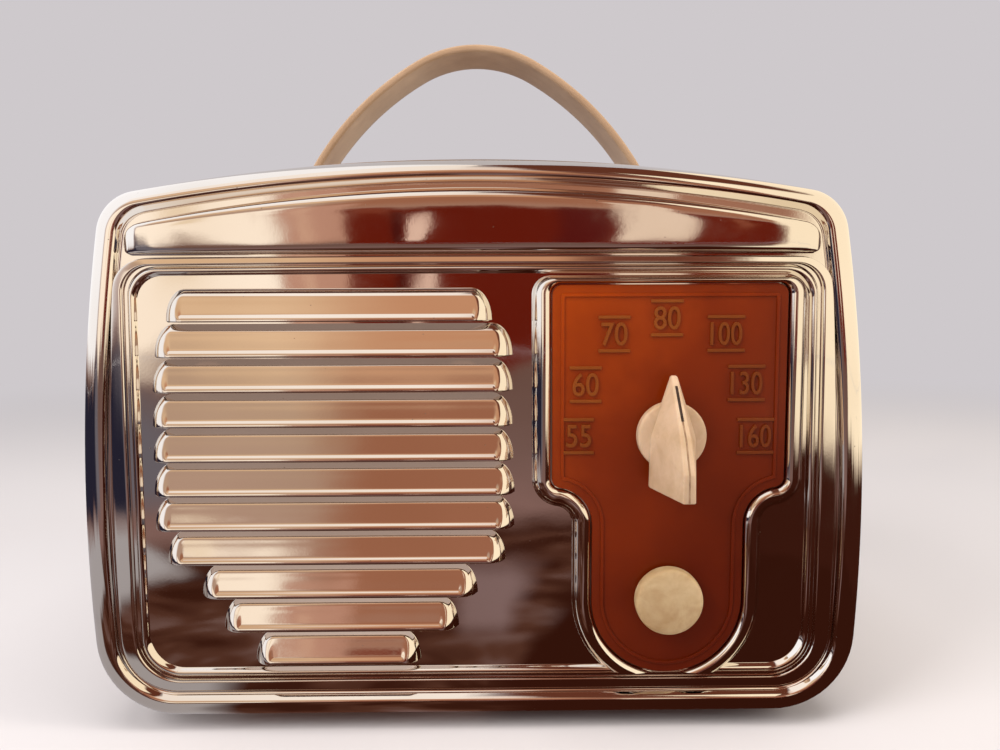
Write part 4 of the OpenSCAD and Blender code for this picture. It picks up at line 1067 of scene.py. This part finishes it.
# What stands round the radio, as its polish shows it. The room's colour goes by the height above
# eye level in degrees, and the table cloth's by the cloth's folds. Each card then covers a range of
# directions: from and to round (0 is straight ahead, more is to the right), its softness, from and
# to in height, its softness, and its colour.
ROOM = [(-28, (76, 48, 40)), (-23, (136, 104, 98)), (-15, (122, 94, 88)), (-6, (112, 84, 76)),
        (0, (150, 108, 88)), (8, (176, 138, 120)), (18, (188, 156, 136)), (24, (196, 164, 138)),
        (30, (236, 198, 160)), (38, (214, 172, 134)), (43, (250, 228, 214)), (64, (240, 216, 202)),
        (72, (160, 144, 140)), (90, (132, 118, 118))]
CLOTH = [(0.0, (40, 16, 10)), (0.42, (62, 30, 20)), (0.56, (88, 54, 42)), (0.74, (130, 104, 100))]
CARDS = [
    (-14, 60, 4, 7, 28, 4, (164, 108, 82)),            # the shaded side of the ceiling
    (-14, 60, 6, 28, 42, 3, (206, 150, 114)),          # and its upper part
    (5, 170, 4, 43, 95, 4, (104, 56, 40)),             # a beam over the right side
    (9, 170, 3, 28, 44, 2, (116, 66, 50)),
    (-53, -29, 4, -18, -3, 3, (110, 104, 112)),        # a grey cloth
    (-40, -16.2, 1.6, -3, 14, 1.4, (270, 252, 232)),   # a pale curtain
    (-25, -22, 1.0, 2, 14, 3.0, (250, 226, 196)),      # its folds
    (-16.4, -10.8, 0.6, -2.5, 12, 2.0, (196, 146, 124)),
    (-15.2, -14.2, 0.3, -2, 10, 2.0, (212, 166, 140)),
    (-11, 26, 0.25, -5.0, 5.5, 0.8, (104, 28, 15)),    # a dark red chair
    (-10.2, -7.4, 0.5, 3, 6, 0.8, (126, 56, 38)),
    (-7.2, -6.2, 0.3, -2, 4, 0.6, (70, 16, 12)),
    (-5.7, -4.6, 0.16, -1.8, 3.2, 0.5, (234, 196, 176)),   # a gap in it
    (5.4, 9.6, 0.6, -3, 6, 1.0, (88, 22, 18)),
    (10.2, 15.3, 0.25, -2, 18, 1.5, (238, 210, 186)),  # a doorway
    (19.2, 20.2, 0.3, -1.5, 3.5, 0.6, (150, 84, 60)),
    (-6, 10, 4, -60, -38, 5, (132, 106, 104)),         # a paler fold of the cloth
    (20, 170, 5, -85, -22, 4, (54, 22, 13)),           # a dark floor on the right
    (22, 170, 2, -27, -12, 1, (60, 26, 17)),           # and the skirting behind it
    (24.2, 170, 1.0, -11, 58, 2.5, (272, 252, 220)),   # a sunlit wall above it
    (-170, -42, 4, -17, -3.2, 1.6, (38, 36, 52)),      # a dark corner on the left
    (-170, -45, 2, -30, -19, 2.0, (172, 166, 168)),
    (-170, -76, 1.5, -54, -28, 3.0, (172, 166, 168)),
    (-170, -44, 7, -1.6, 95, 1.6, (262, 260, 262)),    # a window above it
    (-60, -3, 5, 44, 95, 4, (262, 250, 240)),
]


def surroundings_material():
    m = bpy.data.materials.new("surroundings")
    m.use_nodes = True
    g = Graph(m.node_tree)
    g.nodes.remove(g.nodes["Principled BSDF"])
    way = g.vector("NORMALIZE", g.vector("SUBTRACT", g.coords(), (0, -0.05, 0.1)))
    # soft, uneven borders
    wander = g.add("TexNoise", {"Scale": 6.0, "Detail": 4, "Vector": way}).outputs["Color"]
    shift = g.vector("MULTIPLY_ADD", wander, (0.08, 0.0, 0.13), (-0.04, 0.0, -0.065))
    bent = g.split(g.vector("NORMALIZE", g.vector("ADD", way, shift)))
    degrees = 180 / math.pi
    ahead = g.maths("MULTIPLY", bent["Y"], -1.0)
    around = g.maths("MULTIPLY", g.maths("ARCTAN2", bent["X"], ahead), degrees)
    height = g.maths("MULTIPLY", g.maths("ARCSINE", bent["Z"]), degrees)

    share = g.maths("MULTIPLY_ADD", height, 1 / 120, 0.25)
    colour = g.ramp(share, *[(0.25 + e / 120, c) for e, c in ROOM])
    folds = g.noise(70, 3, 0.5, stretch=(1.0, 1.8, 1), distortion=1.2)
    colour = g.mixed(g.smooth(height, -31, -24, False), colour, g.ramp(folds, *CLOTH))
    for a0, a1, soft_a, e0, e1, soft_e, c in CARDS:
        over = g.smooth(around, a0 - soft_a, a0 + soft_a)
        for edge in (g.smooth(around, a1 - soft_a, a1 + soft_a, False),
                     g.smooth(height, e0 - soft_e, e0 + soft_e),
                     g.smooth(height, e1 - soft_e, e1 + soft_e, False)):
            over = g.maths("MULTIPLY", over, edge)
        colour = g.mixed(over, colour, c)
    g.end_in("Material Output", g.glow(colour, 1.05))
    return m


def build_surroundings():
    """A painted screen round the front, that shows only in the radio's polish: it takes no part in
    the picture and lights nothing else."""
    mat = surroundings_material()
    r, table_r, centre = 1.6, 1.55, np.array([0, -0.05, 0.0])
    rows = []
    for el in np.radians(np.linspace(0, 89, 24)):
        rows.append([centre + r * np.array([math.cos(el) * math.sin(a), -math.cos(el) * math.cos(a),
                                            math.sin(el)])
                     for a in np.radians(np.linspace(-150, 150, 80))])
    table = [(table_r * math.sin(a), centre[1] - table_r * math.cos(a), 0.0008)
             for a in np.linspace(0, 2 * math.pi, 72, endpoint=False)]
    for obj in (stage_piece("screen", *sheet_grid(rows), mat),
                stage_piece("table_card", table, [tuple(range(len(table)))], mat)):
        obj.visible_camera = False
        obj.visible_diffuse = False
        obj.visible_shadow = False
        obj.visible_transmission = False
        obj.visible_volume_scatter = False


build_camera()
build_cabinet()
build_dial()
build_tuning_knob()
build_volume_knob()
build_strap()
dress_nodes()
build_floor()
build_light()
build_surroundings()

bpy.context.scene.view_settings.view_transform = "Standard"
bpy.context.view_layer.update()
